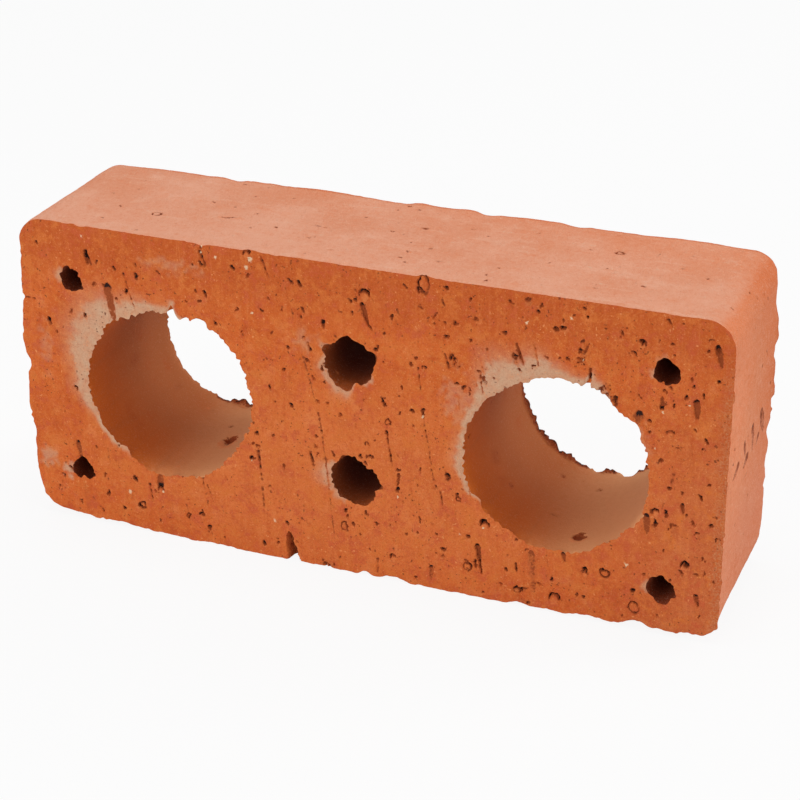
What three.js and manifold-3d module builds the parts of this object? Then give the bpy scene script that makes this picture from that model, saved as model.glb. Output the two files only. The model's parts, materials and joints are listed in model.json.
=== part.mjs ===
// A perforated clay brick: one fired piece, extruded through a die and cut to thickness by wires.
// It stands on its long narrow side, which was the underside of the extruded clay column.
// Millimetres. +X runs along the length, +Y from the front cut face to the rear one, +Z up.
// The origin lies on the floor, under the middle of the brick.
import * as THREE from "three";
import { mergeVertices } from "three/addons/utils/BufferGeometryUtils.js";
import Module from "manifold-3d";

// ---- Driving dimensions: the section that the die gives ----
const brickLength = 230;
const brickWidth = 105; // the height, as it stands
const brickThickness = 54; // between the two cutting wires
const cornerRadius = 9;
const undersideFlat = 80; // the middle of the underside, which rests on the floor
const undersideLift = 2.5; // how far the bowed underside rises towards its corners

// ---- Holes: two grip holes, two core holes between them, a pin hole near each corner ----
const gripHoleRadius = 28.6;
const gripHoleSpacing = 127.6;
const gripHoleDrop = 1.5; // below the middle of the width
const coreHoleRadius = 7.8;
const coreHoleSpacing = 40;
const coreHoleShift = -1.8; // towards the left end
const pinHoleRadius = 3.8;
const pinHoleFromEnd = 18.3;
const pinHoleFromSide = 18;

// ---- Edges torn by the wire ----
const lipDepth = 1.2; // depth of the ragged lip behind each torn edge
const lipShare = 0.4; // how much of a tear or nick is left at that depth
const mouthFade = 4; // depth at which a hole is clean again
const arrisFade = 4.5; // depth at which the outer surface is
const arrisWear = 0.35; // how far the outer edges are worn back all round
const arrisRaggedness = 0.3;
const arrisRipples = [31, 47, 59]; // how many times each ripple goes round the outline
const gripRaggedness = 0.35;
const coreRaggedness = 0.25;
const pinRaggedness = 0.1;
const mouthRipples = [11, 17, 23];
const rearSeedStep = 11; // sets the rear face's ripples apart from the front one's
const bumpTop = 0.2; // a tear keeps its full reach over this share of its half spread
const bumpFoot = 1.6; // and is gone at this share

// ---- The split in the front lower edge ----
const splitHeight = 10.6;
const splitWidth = 4.4;
const splitDepth = 4;
const splitFromCentre = -22.5; // along the length, to the middle of the split's foot
const splitLean = -8.5; // degrees: its upper end leans towards -X
const splitSides = 5;

// ---- Facets ----
const arrisStep = 2.5;
const cornerSegments = 8;
const gripSegments = 120;
const coreSegments = 48;
const pinSegments = 28;
const markDetail = 1; // how often the faces of a mark's body are split

const frontFace = -brickThickness / 2;
const rearFace = brickThickness / 2;
const middleHeight = brickWidth / 2;
const fullTurn = 2 * Math.PI;

const wasm = await Module();
wasm.setup();

// A ripple between -1 and 1 round a closed path. "turn" runs from 0 to 1.
function ripple(turn, seed, counts) {
  const phase = (place) => seed * (place + 1.7);
  const waves = counts.map((count, place) => Math.sin(fullTurn * count * turn + phase(place)));
  return waves.reduce((total, wave) => total + wave, 0) / waves.length;
}

// A tear's share of its reach at a distance from its middle.
function bump(away, spread) {
  return 1 - THREE.MathUtils.smoothstep(away, bumpTop * spread, bumpFoot * spread);
}

// How far a mouth is torn outwards at an angle, in degrees.
function tearAt(tears, degrees) {
  return tears.reduce((total, { angle, spread, reach }) => {
    const away = Math.abs(THREE.MathUtils.euclideanModulo(degrees - angle + 180, 360) - 180);
    return total + reach * bump(away, spread);
  }, 0);
}

// How deep the outer edge is nicked at a point of the outline.
function nickAt(nicks, point) {
  return nicks.reduce((total, { along, up, spread, reach }) => {
    const middle = new THREE.Vector2((along * brickLength) / 2, middleHeight * (1 + up));
    return total + reach * bump(point.distanceTo(middle), spread);
  }, 0);
}

// The section's outline as the die leaves it, anticlockwise as seen from the front.
function sectionCurves() {
  const right = brickLength / 2;
  const flatEnd = undersideFlat / 2;
  const cornerStart = right - cornerRadius;
  const bowMiddle = (flatEnd + cornerStart) / 2;
  const upperCorner = brickWidth - cornerRadius;
  const lowerCorner = undersideLift + cornerRadius;
  const at = (x, z) => new THREE.Vector2(x, z);
  const line = (start, end) => new THREE.LineCurve(start, end);
  const bow = (start, middle, end) => new THREE.QuadraticBezierCurve(start, middle, end);
  const corner = (x, z, quarter) => {
    const from = (quarter * fullTurn) / 4;
    return new THREE.EllipseCurve(x, z, cornerRadius, cornerRadius, from, from + fullTurn / 4);
  };
  return [
    line(at(-flatEnd, 0), at(flatEnd, 0)),
    bow(at(flatEnd, 0), at(bowMiddle, 0), at(cornerStart, undersideLift)),
    corner(cornerStart, lowerCorner, -1),
    line(at(right, lowerCorner), at(right, upperCorner)),
    corner(cornerStart, upperCorner, 0),
    line(at(cornerStart, brickWidth), at(-cornerStart, brickWidth)),
    corner(-cornerStart, upperCorner, 1),
    line(at(-right, upperCorner), at(-right, lowerCorner)),
    corner(-cornerStart, lowerCorner, 2),
    bow(at(-cornerStart, undersideLift), at(-bowMiddle, 0), at(-flatEnd, 0)),
  ];
}

// Points along the outline, each with its outward normal, which the wear follows.
function outlinePoints() {
  return sectionCurves().flatMap((curve) => {
    const steps = curve.isEllipseCurve
      ? cornerSegments
      : Math.max(1, Math.round(curve.getLength() / arrisStep));
    return Array.from({ length: steps }, (unused, step) => {
      const point = curve.getPoint(step / steps);
      const along = curve.getTangent(step / steps);
      return { point, normal: new THREE.Vector2(along.y, -along.x) };
    });
  });
}

// Points round a hole, each with the normal that leads away from its axis.
function holePoints(hole) {
  return Array.from({ length: hole.segments }, (unused, step) => {
    const angle = (fullTurn * step) / hole.segments;
    const normal = new THREE.Vector2(Math.cos(angle), Math.sin(angle));
    const point = normal.clone().multiplyScalar(hole.radius).add(hole.centre);
    return { point, normal };
  });
}

// Rings from the front face to the rear one. Each face's ring is moved along its normals by "front" or
// "rear", the lip's by less, and between the fades the wall is as the die left it.
function ringsThrough(points, { front, rear, fade }) {
  const stations = [
    { y: frontFace, share: 1, move: front },
    { y: frontFace + lipDepth, share: lipShare, move: front },
    { y: frontFace + fade, share: 0, move: front },
    { y: rearFace - fade, share: 0, move: rear },
    { y: rearFace - lipDepth, share: lipShare, move: rear },
    { y: rearFace, share: 1, move: rear },
  ];
  return stations.map(({ y, share, move }) =>
    points.map(({ point, normal }, index) => {
      const reach = share * move(point, index / points.length);
      return new THREE.Vector3(point.x + normal.x * reach, y, point.y + normal.y * reach);
    }),
  );
}

// The wear of one face's outer edge, which never stands out past the outline.
function arrisMove(nicks, seed) {
  return (point, turn) => {
    const rough = arrisRaggedness * ripple(turn, seed, arrisRipples);
    return -Math.max(0, arrisWear + rough + nickAt(nicks, point));
  };
}

// The tearing of one mouth of a hole.
function mouthMove(tears, raggedness, seed) {
  return (point, turn) => tearAt(tears, 360 * turn) + raggedness * ripple(turn, seed, mouthRipples);
}

// The triangles between rings that lie one behind another. An outer wall faces out, a hole's wall in.
function wallTriangles(rings, facesOut) {
  const triangles = [];
  for (let level = 0; level + 1 < rings.length; level += 1) {
    const near = rings[level];
    const far = rings[level + 1];
    near.forEach((corner, index) => {
      const next = (index + 1) % near.length;
      const quad = [corner, near[next], far[next], far[index]];
      if (facesOut) quad.reverse();
      triangles.push(quad[0], quad[1], quad[2], quad[0], quad[2], quad[3]);
    });
  }
  return triangles;
}

// A cut face: the outline's ring with the holes' rings left open.
function faceTriangles(outer, mouths, facesFront) {
  const flat = (ring) => ring.map((corner) => new THREE.Vector2(corner.x, corner.z));
  const corners = [outer, ...mouths].flat();
  const faces = THREE.ShapeUtils.triangulateShape(flat(outer), mouths.map(flat));
  return faces.flatMap((face) => {
    const triangle = face.map((index) => corners[index]);
    return facesFront ? triangle : triangle.reverse();
  });
}

function solidOf(geometry) {
  geometry.deleteAttribute("normal");
  geometry.deleteAttribute("uv");
  const merged = mergeVertices(geometry);
  const vertProperties = merged.getAttribute("position").array;
  const triVerts = new Uint32Array(merged.index.array);
  return new wasm.Manifold(new wasm.Mesh({ numProp: 3, vertProperties, triVerts }));
}

function geometryOf(solid) {
  const mesh = solid.getMesh();
  const geometry = new THREE.BufferGeometry();
  geometry.setAttribute("position", new THREE.BufferAttribute(mesh.vertProperties, 3));
  geometry.setIndex(new THREE.BufferAttribute(mesh.triVerts, 1));
  const faceted = geometry.toNonIndexed();
  faceted.computeVertexNormals();
  return faceted;
}

// ---- Nicks and worn places of the outer edges ----
// A nick's place is given as shares of the half length and half width. A negative reach is a place that
// is worn less than the rest.
const nick = (along, up, spread, reach) => ({ along, up, spread, reach });

const frontNicks = [
  nick(0.016, -1, 1.9, 1.3),
  nick(0.099, -1, 3, 1.3),
  nick(0.457, -1, 3, 1.1),
  nick(0.779, -0.977, 2.8, 1.4),
  nick(-0.73, -0.977, 2.4, 0.5),
  nick(-0.957, -0.924, 4, 0.4),
  nick(-1, 0.036, 2.6, 1.3),
  nick(-1, 0.79, 10, 0.8),
  nick(-1, -0.819, 5, 1),
  nick(-1, -0.43, 3, 0.5),
  nick(0.974, -0.905, 5, -0.4),
  nick(-0.435, 1, 2.4, 0.4),
  nick(-0.8, 1, 2.4, 0.5),
  nick(0.852, 1, 3, 0.3),
];

const rearNicks = [
  nick(-0.557, 1, 3.2, 0.8),
  nick(-0.07, 1, 6, 0.4),
  nick(0.196, 1, 3.4, 0.8),
  nick(0.448, 1, 3.4, 0.6),
  nick(-0.922, 1, 8, 0.6),
  nick(1, 0.79, 7, 1.5),
  nick(1, -0.114, 2.8, 0.8),
  nick(1, -0.467, 2.4, 0.5),
  nick(1, 0.15, 3, -0.4),
  nick(-1, 0.4, 4, 0.9),
  nick(-1, -0.5, 3, 0.8),
  nick(0.6, -1, 4, 1),
  nick(-0.35, -1, 3, 0.9),
];

// ---- The holes, each a little off its nominal place, as the die's cores wander ----
// A tear has its angle and half spread in degrees, anticlockwise from +X as seen from the front, and its
// reach outwards. A negative reach is clay that the wire pushed into the hole.
const tear = (angle, spread, reach) => ({ angle, spread, reach });

const kinds = {
  grip: { radius: gripHoleRadius, segments: gripSegments, raggedness: gripRaggedness },
  core: { radius: coreHoleRadius, segments: coreSegments, raggedness: coreRaggedness },
  pin: { radius: pinHoleRadius, segments: pinSegments, raggedness: pinRaggedness },
};

function hole(kind, x, z, seed, frontTears, rearTears) {
  return { ...kinds[kind], centre: new THREE.Vector2(x, z), seed, frontTears, rearTears };
}

const gripX = gripHoleSpacing / 2;
const gripZ = middleHeight - gripHoleDrop;
const coreZ = coreHoleSpacing / 2;
const pinX = brickLength / 2 - pinHoleFromEnd;
const pinLow = pinHoleFromSide;
const pinHigh = brickWidth - pinHoleFromSide;

const leftGrip = hole(
  "grip",
  -gripX - 0.5,
  gripZ + 0.5,
  1.3,
  [
    tear(65.5, 4.6, 3),
    tear(55, 5, 1.2),
    tear(41, 12, 1.1),
    tear(26, 9, 0.5),
    tear(85, 2.5, 2.2),
    tear(79, 3, -1),
    tear(110, 5, -0.8),
    tear(117, 3, -1),
    tear(134, 5, 1.1),
    tear(186, 8, 0.3),
    tear(232, 5, -0.9),
    tear(256, 12, 1.3),
    tear(289, 5, 0.7),
    tear(325, 18, -1.3),
  ],
  [
    tear(222, 16, 1.3),
    tear(252, 6, 0.4),
    tear(264, 4, -2),
    tear(275, 8, 1.4),
    tear(20, 12, 1.2),
    tear(120, 16, 0.8),
    tear(80, 30, -0.7),
    tear(340, 24, -0.6),
  ],
);

const rightGrip = hole(
  "grip",
  gripX - 0.6,
  gripZ - 0.4,
  4.1,
  [
    tear(35, 6, 1.7),
    tear(63, 6, 1.3),
    tear(72, 2.4, 2.2),
    tear(50, 4, -0.4),
    tear(124, 24, -1),
    tear(199, 10, 1.2),
    tear(224, 7, 0.7),
    tear(256, 8, 0.7),
    tear(310, 16, -0.6),
    tear(335, 7, 0.9),
  ],
  [
    tear(205, 12, -1),
    tear(226, 9, -1.5),
    tear(243, 8, -1.2),
    tear(286, 5, 1.4),
    tear(299, 9, -0.9),
    tear(150, 12, 0.9),
    tear(50, 14, 1.3),
    tear(330, 10, 0.8),
    tear(100, 20, -0.6),
  ],
);

const upperCore = hole(
  "core",
  coreHoleShift - 0.7,
  middleHeight + coreZ + 0.5,
  2.6,
  [
    tear(20, 15, 1.9),
    tear(98, 15, 1),
    tear(155, 12, 1.5),
    tear(195, 12, 0.7),
    tear(245, 26, 1.2),
    tear(268, 8, 0.9),
    tear(291, 8, -0.9),
    tear(344, 14, 0.4),
  ],
  [tear(60, 18, 1.5), tear(170, 14, 1.2), tear(290, 16, 1)],
);

const lowerCore = hole(
  "core",
  coreHoleShift + 0.6,
  middleHeight - coreZ + 0.4,
  7.9,
  [
    tear(358, 7, 1.3),
    tear(13, 12, 0.9),
    tear(62, 15, -0.9),
    tear(108, 22, 1.2),
    tear(152, 22, 0.5),
    tear(296, 15, 1),
    tear(341, 5, -0.5),
    tear(216, 4, -0.5),
  ],
  [tear(30, 16, 1.3), tear(140, 18, 1), tear(250, 14, 1.6)],
);

const upperLeftPin = hole(
  "pin",
  -pinX + 0.1,
  pinHigh - 1.1,
  5.2,
  [tear(326, 12, 1.4), tear(114, 20, 0.9), tear(150, 18, 0.4), tear(22, 20, -0.6), tear(268, 12, 0.4)],
  [tear(80, 20, 0.8), tear(240, 18, 0.6)],
);

const lowerLeftPin = hole(
  "pin",
  -pinX - 1,
  pinLow + 0.6,
  3.4,
  [tear(341, 12, 0.7), tear(90, 18, 1), tear(190, 24, 0.4), tear(272, 14, -1.1), tear(235, 12, 0.3)],
  [tear(10, 20, 0.9)],
);

const upperRightPin = hole(
  "pin",
  pinX - 1.2,
  pinHigh - 0.4,
  6.6,
  [tear(104, 30, 0.7), tear(203, 12, 0.5), tear(254, 12, -0.7), tear(320, 24, 0.4)],
  [tear(150, 20, 0.8), tear(300, 20, 0.7)],
);

const lowerRightPin = hole(
  "pin",
  pinX + 0.4,
  pinLow - 2.4,
  9.3,
  [tear(92, 15, 1.2), tear(130, 26, 0.8), tear(175, 28, 0.7), tear(276, 24, 1.2), tear(345, 20, 1)],
  [tear(60, 22, 0.9)],
);

const holes = [
  leftGrip,
  rightGrip,
  upperCore,
  lowerCore,
  upperLeftPin,
  lowerLeftPin,
  upperRightPin,
  lowerRightPin,
];

function perforatedBlock() {
  const outer = ringsThrough(outlinePoints(), {
    front: arrisMove(frontNicks, 0),
    rear: arrisMove(rearNicks, rearSeedStep),
    fade: arrisFade,
  });
  const mouths = holes.map((each) =>
    ringsThrough(holePoints(each), {
      front: mouthMove(each.frontTears, each.raggedness, each.seed),
      rear: mouthMove(each.rearTears, each.raggedness, each.seed + rearSeedStep),
      fade: mouthFade,
    }),
  );
  const last = outer.length - 1;
  const triangles = [
    ...faceTriangles(outer[0], mouths.map((rings) => rings[0]), true),
    ...faceTriangles(outer[last], mouths.map((rings) => rings[last]), false),
    ...wallTriangles(outer, true),
    ...mouths.flatMap((rings) => wallTriangles(rings, false)),
  ];
  return solidOf(new THREE.BufferGeometry().setFromPoints(triangles));
}

// ---- Marks in the surface ----
// A mark is cut by a slim boat-shaped body, deepest in its middle and pointed at both ends. Its place is
// given as shares of the half length and half width, so that it stays on the face when a size changes.
function boat(length, width, depth) {
  return new THREE.OctahedronGeometry(1, markDetail).scale(width / 2, depth, length / 2);
}

function faceMark({ at, length, width, depth, lean }, y) {
  const geometry = boat(length, width, depth);
  geometry.rotateY(THREE.MathUtils.degToRad(lean));
  geometry.translate((at[0] * brickLength) / 2, y, middleHeight * (1 + at[1]));
  return solidOf(geometry);
}

// Scores that the wire dragged down the front face. "lean" turns the upper end towards +X, in degrees.
const frontScores = [
  { at: [-0.112, -0.244], length: 67, width: 1.1, depth: 0.7, lean: -8 },
  { at: [0.2, -0.016], length: 46, width: 1.1, depth: 0.7, lean: -7.6 },
  { at: [0.09, -0.12], length: 13, width: 1.2, depth: 1, lean: -9 },
  { at: [0.026, 0.71], length: 9, width: 2.2, depth: 1.3, lean: -14 },
  { at: [-0.287, -0.5], length: 23, width: 1.6, depth: 0.9, lean: -4 },
  { at: [0.45, 0.617], length: 8, width: 1.6, depth: 1.2, lean: -18 },
  { at: [0.347, -0.743], length: 11.5, width: 2.2, depth: 1.8, lean: -10 },
  { at: [0.494, -0.76], length: 15, width: 1.8, depth: 0.9, lean: -4 },
  { at: [-0.595, -0.612], length: 7, width: 2.6, depth: 1.3, lean: -18 },
  { at: [-0.724, 0.528], length: 15, width: 3, depth: 1.2, lean: -7 },
  { at: [-0.662, 0.622], length: 13, width: 1.1, depth: 0.6, lean: -17 },
  { at: [-0.434, 0.907], length: 6, width: 1.3, depth: 0.9, lean: -19 },
  { at: [0.96, 0.787], length: 7, width: 2, depth: 1.3, lean: -12 },
  { at: [0.91, 0.456], length: 7, width: 2.2, depth: 1.1, lean: -7 },
  { at: [0.797, -0.303], length: 7.5, width: 2.4, depth: 1.1, lean: -3 },
];

// Places where the wire pulled a crumb of clay out of the front face.
const frontPits = [
  { at: [-0.78, 0.802], length: 4, width: 2, depth: 1.4, lean: -8 },
  { at: [-0.64, 0.73], length: 2.8, width: 1.6, depth: 1, lean: -15 },
  { at: [-0.922, 0.347], length: 3, width: 1.7, depth: 1, lean: -5 },
  { at: [-0.316, -0.349], length: 2.4, width: 1.9, depth: 1.2, lean: -8 },
  { at: [-0.669, -0.829], length: 2.8, width: 1.9, depth: 1.1, lean: -30 },
  { at: [0.174, 0.91], length: 2.2, width: 1.8, depth: 1, lean: -8 },
  { at: [0.553, 0.813], length: 2.6, width: 3, depth: 1.3, lean: 0 },
  { at: [0.61, 0.686], length: 4.4, width: 2.6, depth: 1.3, lean: -20 },
  { at: [0.766, 0.802], length: 2.8, width: 2.5, depth: 1.4, lean: 0 },
  { at: [0.959, 0.651], length: 2, width: 1.8, depth: 1, lean: 0 },
  { at: [0.903, -0.518], length: 2.4, width: 3.2, depth: 1.3, lean: 0 },
  { at: [0.774, -0.79], length: 2.6, width: 2.4, depth: 1.2, lean: 0 },
  { at: [0.423, -0.77], length: 3, width: 1.8, depth: 1.2, lean: -20 },
];

// The rear face has been cut by the same kind of wire.
const rearScores = [
  { at: [-0.19, 0.1], length: 52, width: 1.1, depth: 0.7, lean: -6 },
  { at: [0.16, 0.02], length: 34, width: 1.6, depth: 1.1, lean: -9 },
  { at: [-0.06, -0.74], length: 12, width: 2.4, depth: 1.2, lean: -12 },
  { at: [0.93, 0.2], length: 20, width: 1.4, depth: 0.9, lean: -7 },
  { at: [-0.93, -0.1], length: 26, width: 1.2, depth: 0.8, lean: -5 },
];

const rearPits = [
  { at: [-0.3, 0.83], length: 4.4, width: 2.4, depth: 1.4, lean: -15 },
  { at: [0.25, 0.78], length: 3.6, width: 2.8, depth: 1.4, lean: 30 },
  { at: [0.7, -0.78], length: 5, width: 2.2, depth: 1.5, lean: -10 },
  { at: [-0.72, -0.8], length: 3.8, width: 2.8, depth: 1.4, lean: 45 },
];

// Gouges in the right end. Here "at" counts shares of the half thickness and half width.
const endGouges = [
  { at: [0.62, 0.04], length: 10, width: 2.2, depth: 0.8, lean: 22 },
  { at: [0.11, 0.05], length: 10, width: 1.6, depth: 1, lean: 0 },
  { at: [-0.29, 0.08], length: 5.5, width: 1.8, depth: 1, lean: 5 },
  { at: [-0.21, -0.02], length: 6.5, width: 1.8, depth: 0.8, lean: -62 },
  { at: [-0.7, 0.045], length: 8, width: 1.6, depth: 0.8, lean: -66 },
];

function endMark({ at, length, width, depth, lean }) {
  const geometry = boat(length, width, depth);
  geometry.rotateZ(fullTurn / 4);
  geometry.rotateX(THREE.MathUtils.degToRad(lean));
  geometry.translate(brickLength / 2, (at[0] * brickThickness) / 2, middleHeight * (1 + at[1]));
  return solidOf(geometry);
}

// The split opens downwards through the front lower edge, and closes to a point on the front face.
function edgeSplit() {
  const below = 2; // the cutting body starts this far under the floor
  const grow = (splitHeight + below) / splitHeight;
  const geometry = new THREE.ConeGeometry(1, splitHeight + below, splitSides);
  geometry.rotateX(fullTurn / 4);
  geometry.scale((splitWidth / 2) * grow, splitDepth * grow, 1);
  geometry.translate(0, 0, (splitHeight - below) / 2);
  geometry.rotateY(THREE.MathUtils.degToRad(splitLean));
  geometry.translate(splitFromCentre, frontFace, 0);
  return solidOf(geometry);
}

function brickSolid() {
  const marks = [
    ...[...frontScores, ...frontPits].map((mark) => faceMark(mark, frontFace)),
    ...[...rearScores, ...rearPits].map((mark) => faceMark(mark, rearFace)),
    ...endGouges.map(endMark),
    edgeSplit(),
  ];
  return marks.reduce((solid, mark) => solid.subtract(mark), perforatedBlock());
}

const firedClay = new THREE.MeshStandardMaterial({ color: 0xc8643c, roughness: 0.9, metalness: 0 });

const brick = new THREE.Mesh(geometryOf(brickSolid()), firedClay);
brick.name = "brick";

const part = new THREE.Group();
part.add(brick);

export default part;
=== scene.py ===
"""A fired clay brick: the fine relief and finish of one extruded, wire-cut piece, on a studio floor.

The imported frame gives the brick's box and body. The brick is rebuilt at that size as one closed mesh,
fine enough to carry the torn hole mouths, the wire's scores, pits and crumbs, and the dragged skin.
"""

import json
import math
from typing import NamedTuple

import bpy
import numpy as np
from bpy.props import FloatProperty, FloatVectorProperty, IntProperty, PointerProperty
from mathutils import Matrix, Vector
from mathutils.geometry import delaunay_2d_cdt
from mathutils.kdtree import KDTree

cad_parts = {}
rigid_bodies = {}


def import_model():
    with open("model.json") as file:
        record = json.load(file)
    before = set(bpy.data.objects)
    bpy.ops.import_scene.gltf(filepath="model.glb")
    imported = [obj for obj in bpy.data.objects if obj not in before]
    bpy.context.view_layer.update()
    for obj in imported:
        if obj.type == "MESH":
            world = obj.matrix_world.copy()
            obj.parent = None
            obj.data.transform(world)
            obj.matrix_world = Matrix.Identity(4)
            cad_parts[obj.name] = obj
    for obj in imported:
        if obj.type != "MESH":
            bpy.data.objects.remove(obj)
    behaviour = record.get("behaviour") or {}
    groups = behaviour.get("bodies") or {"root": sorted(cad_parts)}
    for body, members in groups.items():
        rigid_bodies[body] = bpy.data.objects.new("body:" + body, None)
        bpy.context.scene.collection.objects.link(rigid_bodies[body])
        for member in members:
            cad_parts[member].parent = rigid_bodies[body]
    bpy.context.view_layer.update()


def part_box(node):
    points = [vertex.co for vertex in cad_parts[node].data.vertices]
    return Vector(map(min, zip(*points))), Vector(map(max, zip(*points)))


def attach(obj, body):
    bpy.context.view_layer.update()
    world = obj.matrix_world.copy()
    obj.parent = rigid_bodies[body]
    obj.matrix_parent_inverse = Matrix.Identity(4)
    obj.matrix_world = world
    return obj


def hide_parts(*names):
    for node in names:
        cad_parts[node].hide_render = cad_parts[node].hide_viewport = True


bl_info = {
    "name": "Fired clay brick",
    "version": (1, 0, 0),
    "blender": (4, 5, 0),
    "location": "3D View > Sidebar > Brick",
    "description": "Builds a perforated, wire-cut clay brick and a plain studio round it",
    "category": "Object",
}

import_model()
LOW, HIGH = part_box("brick")
MM = 0.001  # the sizes below are worked in millimetres; the scene is in metres
LENGTH = (HIGH.x - LOW.x) / MM
THICKNESS = (HIGH.y - LOW.y) / MM
HEIGHT = (HIGH.z - LOW.z) / MM
HALF = THICKNESS / 2
TURN = 2 * math.pi
FRONT, REAR = -1.0, 1.0  # which way a cut face looks along Y
DRAG_LEAN = 8.0  # degrees: the wire ran down the front face and a little towards +X


# ---- Holes ----
class Kind(NamedTuple):
    """What differs between the kinds of hole, in millimetres or as shares."""

    mouth_rough: float  # how much of the finest raggedness the mouths have
    rim_reach: float  # how far the worn rim reaches over the cut face
    bloom: float  # how strong the pale bloom round the front mouth is
    pits: int  # in the wall
    ring_step: float  # between the points of a mouth
    wall_step: float  # between the points of the wall, as a share of the coarse step


GRIP = Kind(1.0, 2.0, 1.0, 26, 0.42, 1.35)
CORE = Kind(0.9, 1.6, 0.75, 6, 0.34, 1.0)
PIN = Kind(0.55, 1.0, 0.7, 3, 0.28, 1.05)
# Painted shade in the narrow holes: how dark their walls already are at the mouth.
BORE_SHADE_AT_MOUTH = {CORE: 0.78, PIN: 0.99}  # the narrow holes are black further in

# Each hole: kind, centre x and z in millimetres, then four lists of places round the mouth.
# A tear is its angle and its half spread in degrees, anticlockwise from +X as seen from the front, and
# how far it reaches outwards. A negative reach is clay that the wire pushed into the hole. The lists are
# the tears of the front mouth, those of the rear one, the burrs of the rear one and the pale bloom's
# width round the front one.
HOLES = (
    (
        GRIP, -64.3, 51.5,
        ((65.5, 4.6, 3), (55, 5, 1.2), (41, 12, 1.1), (26, 9, 0.5), (85, 1.9, 2.5), (79, 3, -1),
         (92, 5, -0.5), (110, 5, -0.8), (117, 2, -1.3), (134, 5, 1.1), (186, 8, 0.3), (232, 5, -0.9),
         (256, 12, 1.3), (289, 5, 0.7), (325, 18, -1.3)),
        ((222, 16, 1.3), (252, 6, 1), (275, 8, 1.7), (20, 12, 1.2), (120, 16, 0.8), (320, 12, 0.6)),
        ((264, 5, 2.4), (253, 5, 1), (274, 8, 2.2), (80, 30, 0.7), (340, 24, 0.8)),
        ((94, 14, 2.5), (118, 14, 6.5), (146, 20, 11.5), (176, 14, 5.5), (196, 12, 3), (222, 14, 1.6)),
    ),
    (
        GRIP, 63.2, 50.6,
        ((35, 6, 1.7), (63, 6, 1.3), (72, 1.6, 2.6), (50, 4, -0.4), (124, 24, -1), (199, 10, 1.2),
         (224, 7, 0.7), (256, 8, 0.7), (310, 16, -0.6), (335, 7, 0.9), (20, 4, 0.4)),
        ((286, 5, 1.6), (265, 4, 0.7), (150, 12, 0.9), (50, 14, 1.3), (330, 10, 0.8)),
        ((205, 12, 1), (226, 9, 1.6), (243, 8, 1.2), (254, 5, 0.9), (273, 5, 1), (299, 9, 1),
         (190, 10, 0.5), (100, 40, 0.8), (20, 20, 0.6)),
        ((72, 12, 3.2), (108, 20, 8.5), (130, 12, 7), (152, 12, 3), (178, 14, 2.6), (200, 16, 1.8)),
    ),
    (
        CORE, -2.5, 73,
        ((20, 15, 1.9), (98, 15, 1), (155, 12, 1.5), (195, 12, 0.7), (245, 26, 1.2), (268, 8, 0.9),
         (291, 8, -0.9), (344, 14, 0.4)),
        ((60, 18, 1.5), (170, 14, 1.2), (290, 16, 1.4)),
        ((120, 40, 0.5), (300, 40, 0.5)),
        ((200, 30, 2.6), (255, 26, 2.6), (322, 20, 0.9), (150, 10, 1.2)),
    ),
    (
        CORE, -1.2, 32.9,
        ((358, 7, 1.3), (13, 12, 0.9), (62, 15, -1), (108, 22, 1.2), (152, 22, 0.5), (296, 15, 1),
         (256, 12, -0.3), (341, 5, -0.5), (216, 4, -0.5)),
        ((30, 16, 1.3), (140, 18, 1), (250, 14, 1.6)),
        ((90, 40, 0.5), (220, 40, 0.5)),
        ((176, 28, 4.6), (226, 20, 1.6)),
    ),
    (
        PIN, -96.65, 85.9,
        ((326, 8, 1), (114, 20, 0.9), (150, 18, 0.4), (22, 24, -0.4), (268, 9, 0.4), (225, 20, 0.3)),
        ((80, 20, 0.8), (240, 18, 0.6)), ((20, 60, 0.3),), ((165, 30, 2.2),),
    ),
    (
        PIN, -97.7, 18.6,
        ((341, 9, 0.7), (90, 16, 0.9), (64, 12, 0.3), (190, 24, 0.4), (272, 18, -1.7), (235, 8, 0.3)),
        ((10, 20, 0.9),), ((200, 60, 0.3),), ((172, 22, 1.8),),
    ),
    (
        PIN, 95.5, 86.6,
        ((104, 30, 0.7), (203, 10, 0.5), (254, 7, -1), (292, 20, 0.2), (0, 6, 0.2), (325, 20, 0.4)),
        ((150, 20, 0.8), (300, 20, 0.7)), ((60, 60, 0.3),), ((110, 40, 0.7), (190, 20, 0.9)),
    ),
    (
        PIN, 97.05, 15.5,
        ((92, 15, 1.2), (130, 26, 0.8), (175, 28, 0.7), (275, 24, 1.3), (305, 14, 0.6), (345, 16, 1.2),
         (20, 12, 0.5)),
        ((60, 22, 0.9),), ((300, 60, 0.3),), ((176, 30, 1.2),),
    ),
)

# ---- The outer edges. Nicks (positive) and swellings (negative): nearest x and z, half spread, reach ----
FRONT_NICKS = (
    (1.8, 0, 1.9, 1.3), (11.4, 0, 3, 1.3), (52.6, 0, 3, 1.1), (89.6, 1.2, 2.8, 1.4),
    (-84, 1.2, 2.2, 0.5), (-110, 4, 4, 0.4), (-115, 54.4, 2.6, 1.3), (-115, 94, 10, 0.8),
    (-115, 9.5, 5, 1),
    (-115, 65, 9, -0.9), (-115, 43, 9, -0.8), (112, 5, 5, -0.9), (101, 2, 4, -0.5),
    (-50, 105, 1.6, 0.4), (-34, 105, 2.4, -0.4), (22.2, 105, 2.4, -0.4), (-115, 77.5, 1, 0.8),
    (60, 0.2, 5, 0.4), (-115, 30, 3, 0.5), (-92, 105, 2, 0.5), (-26, 105, 1.4, 0.4),
    (98, 105, 3, 0.3), (-115, 35, 1.6, -0.4),
)
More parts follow.
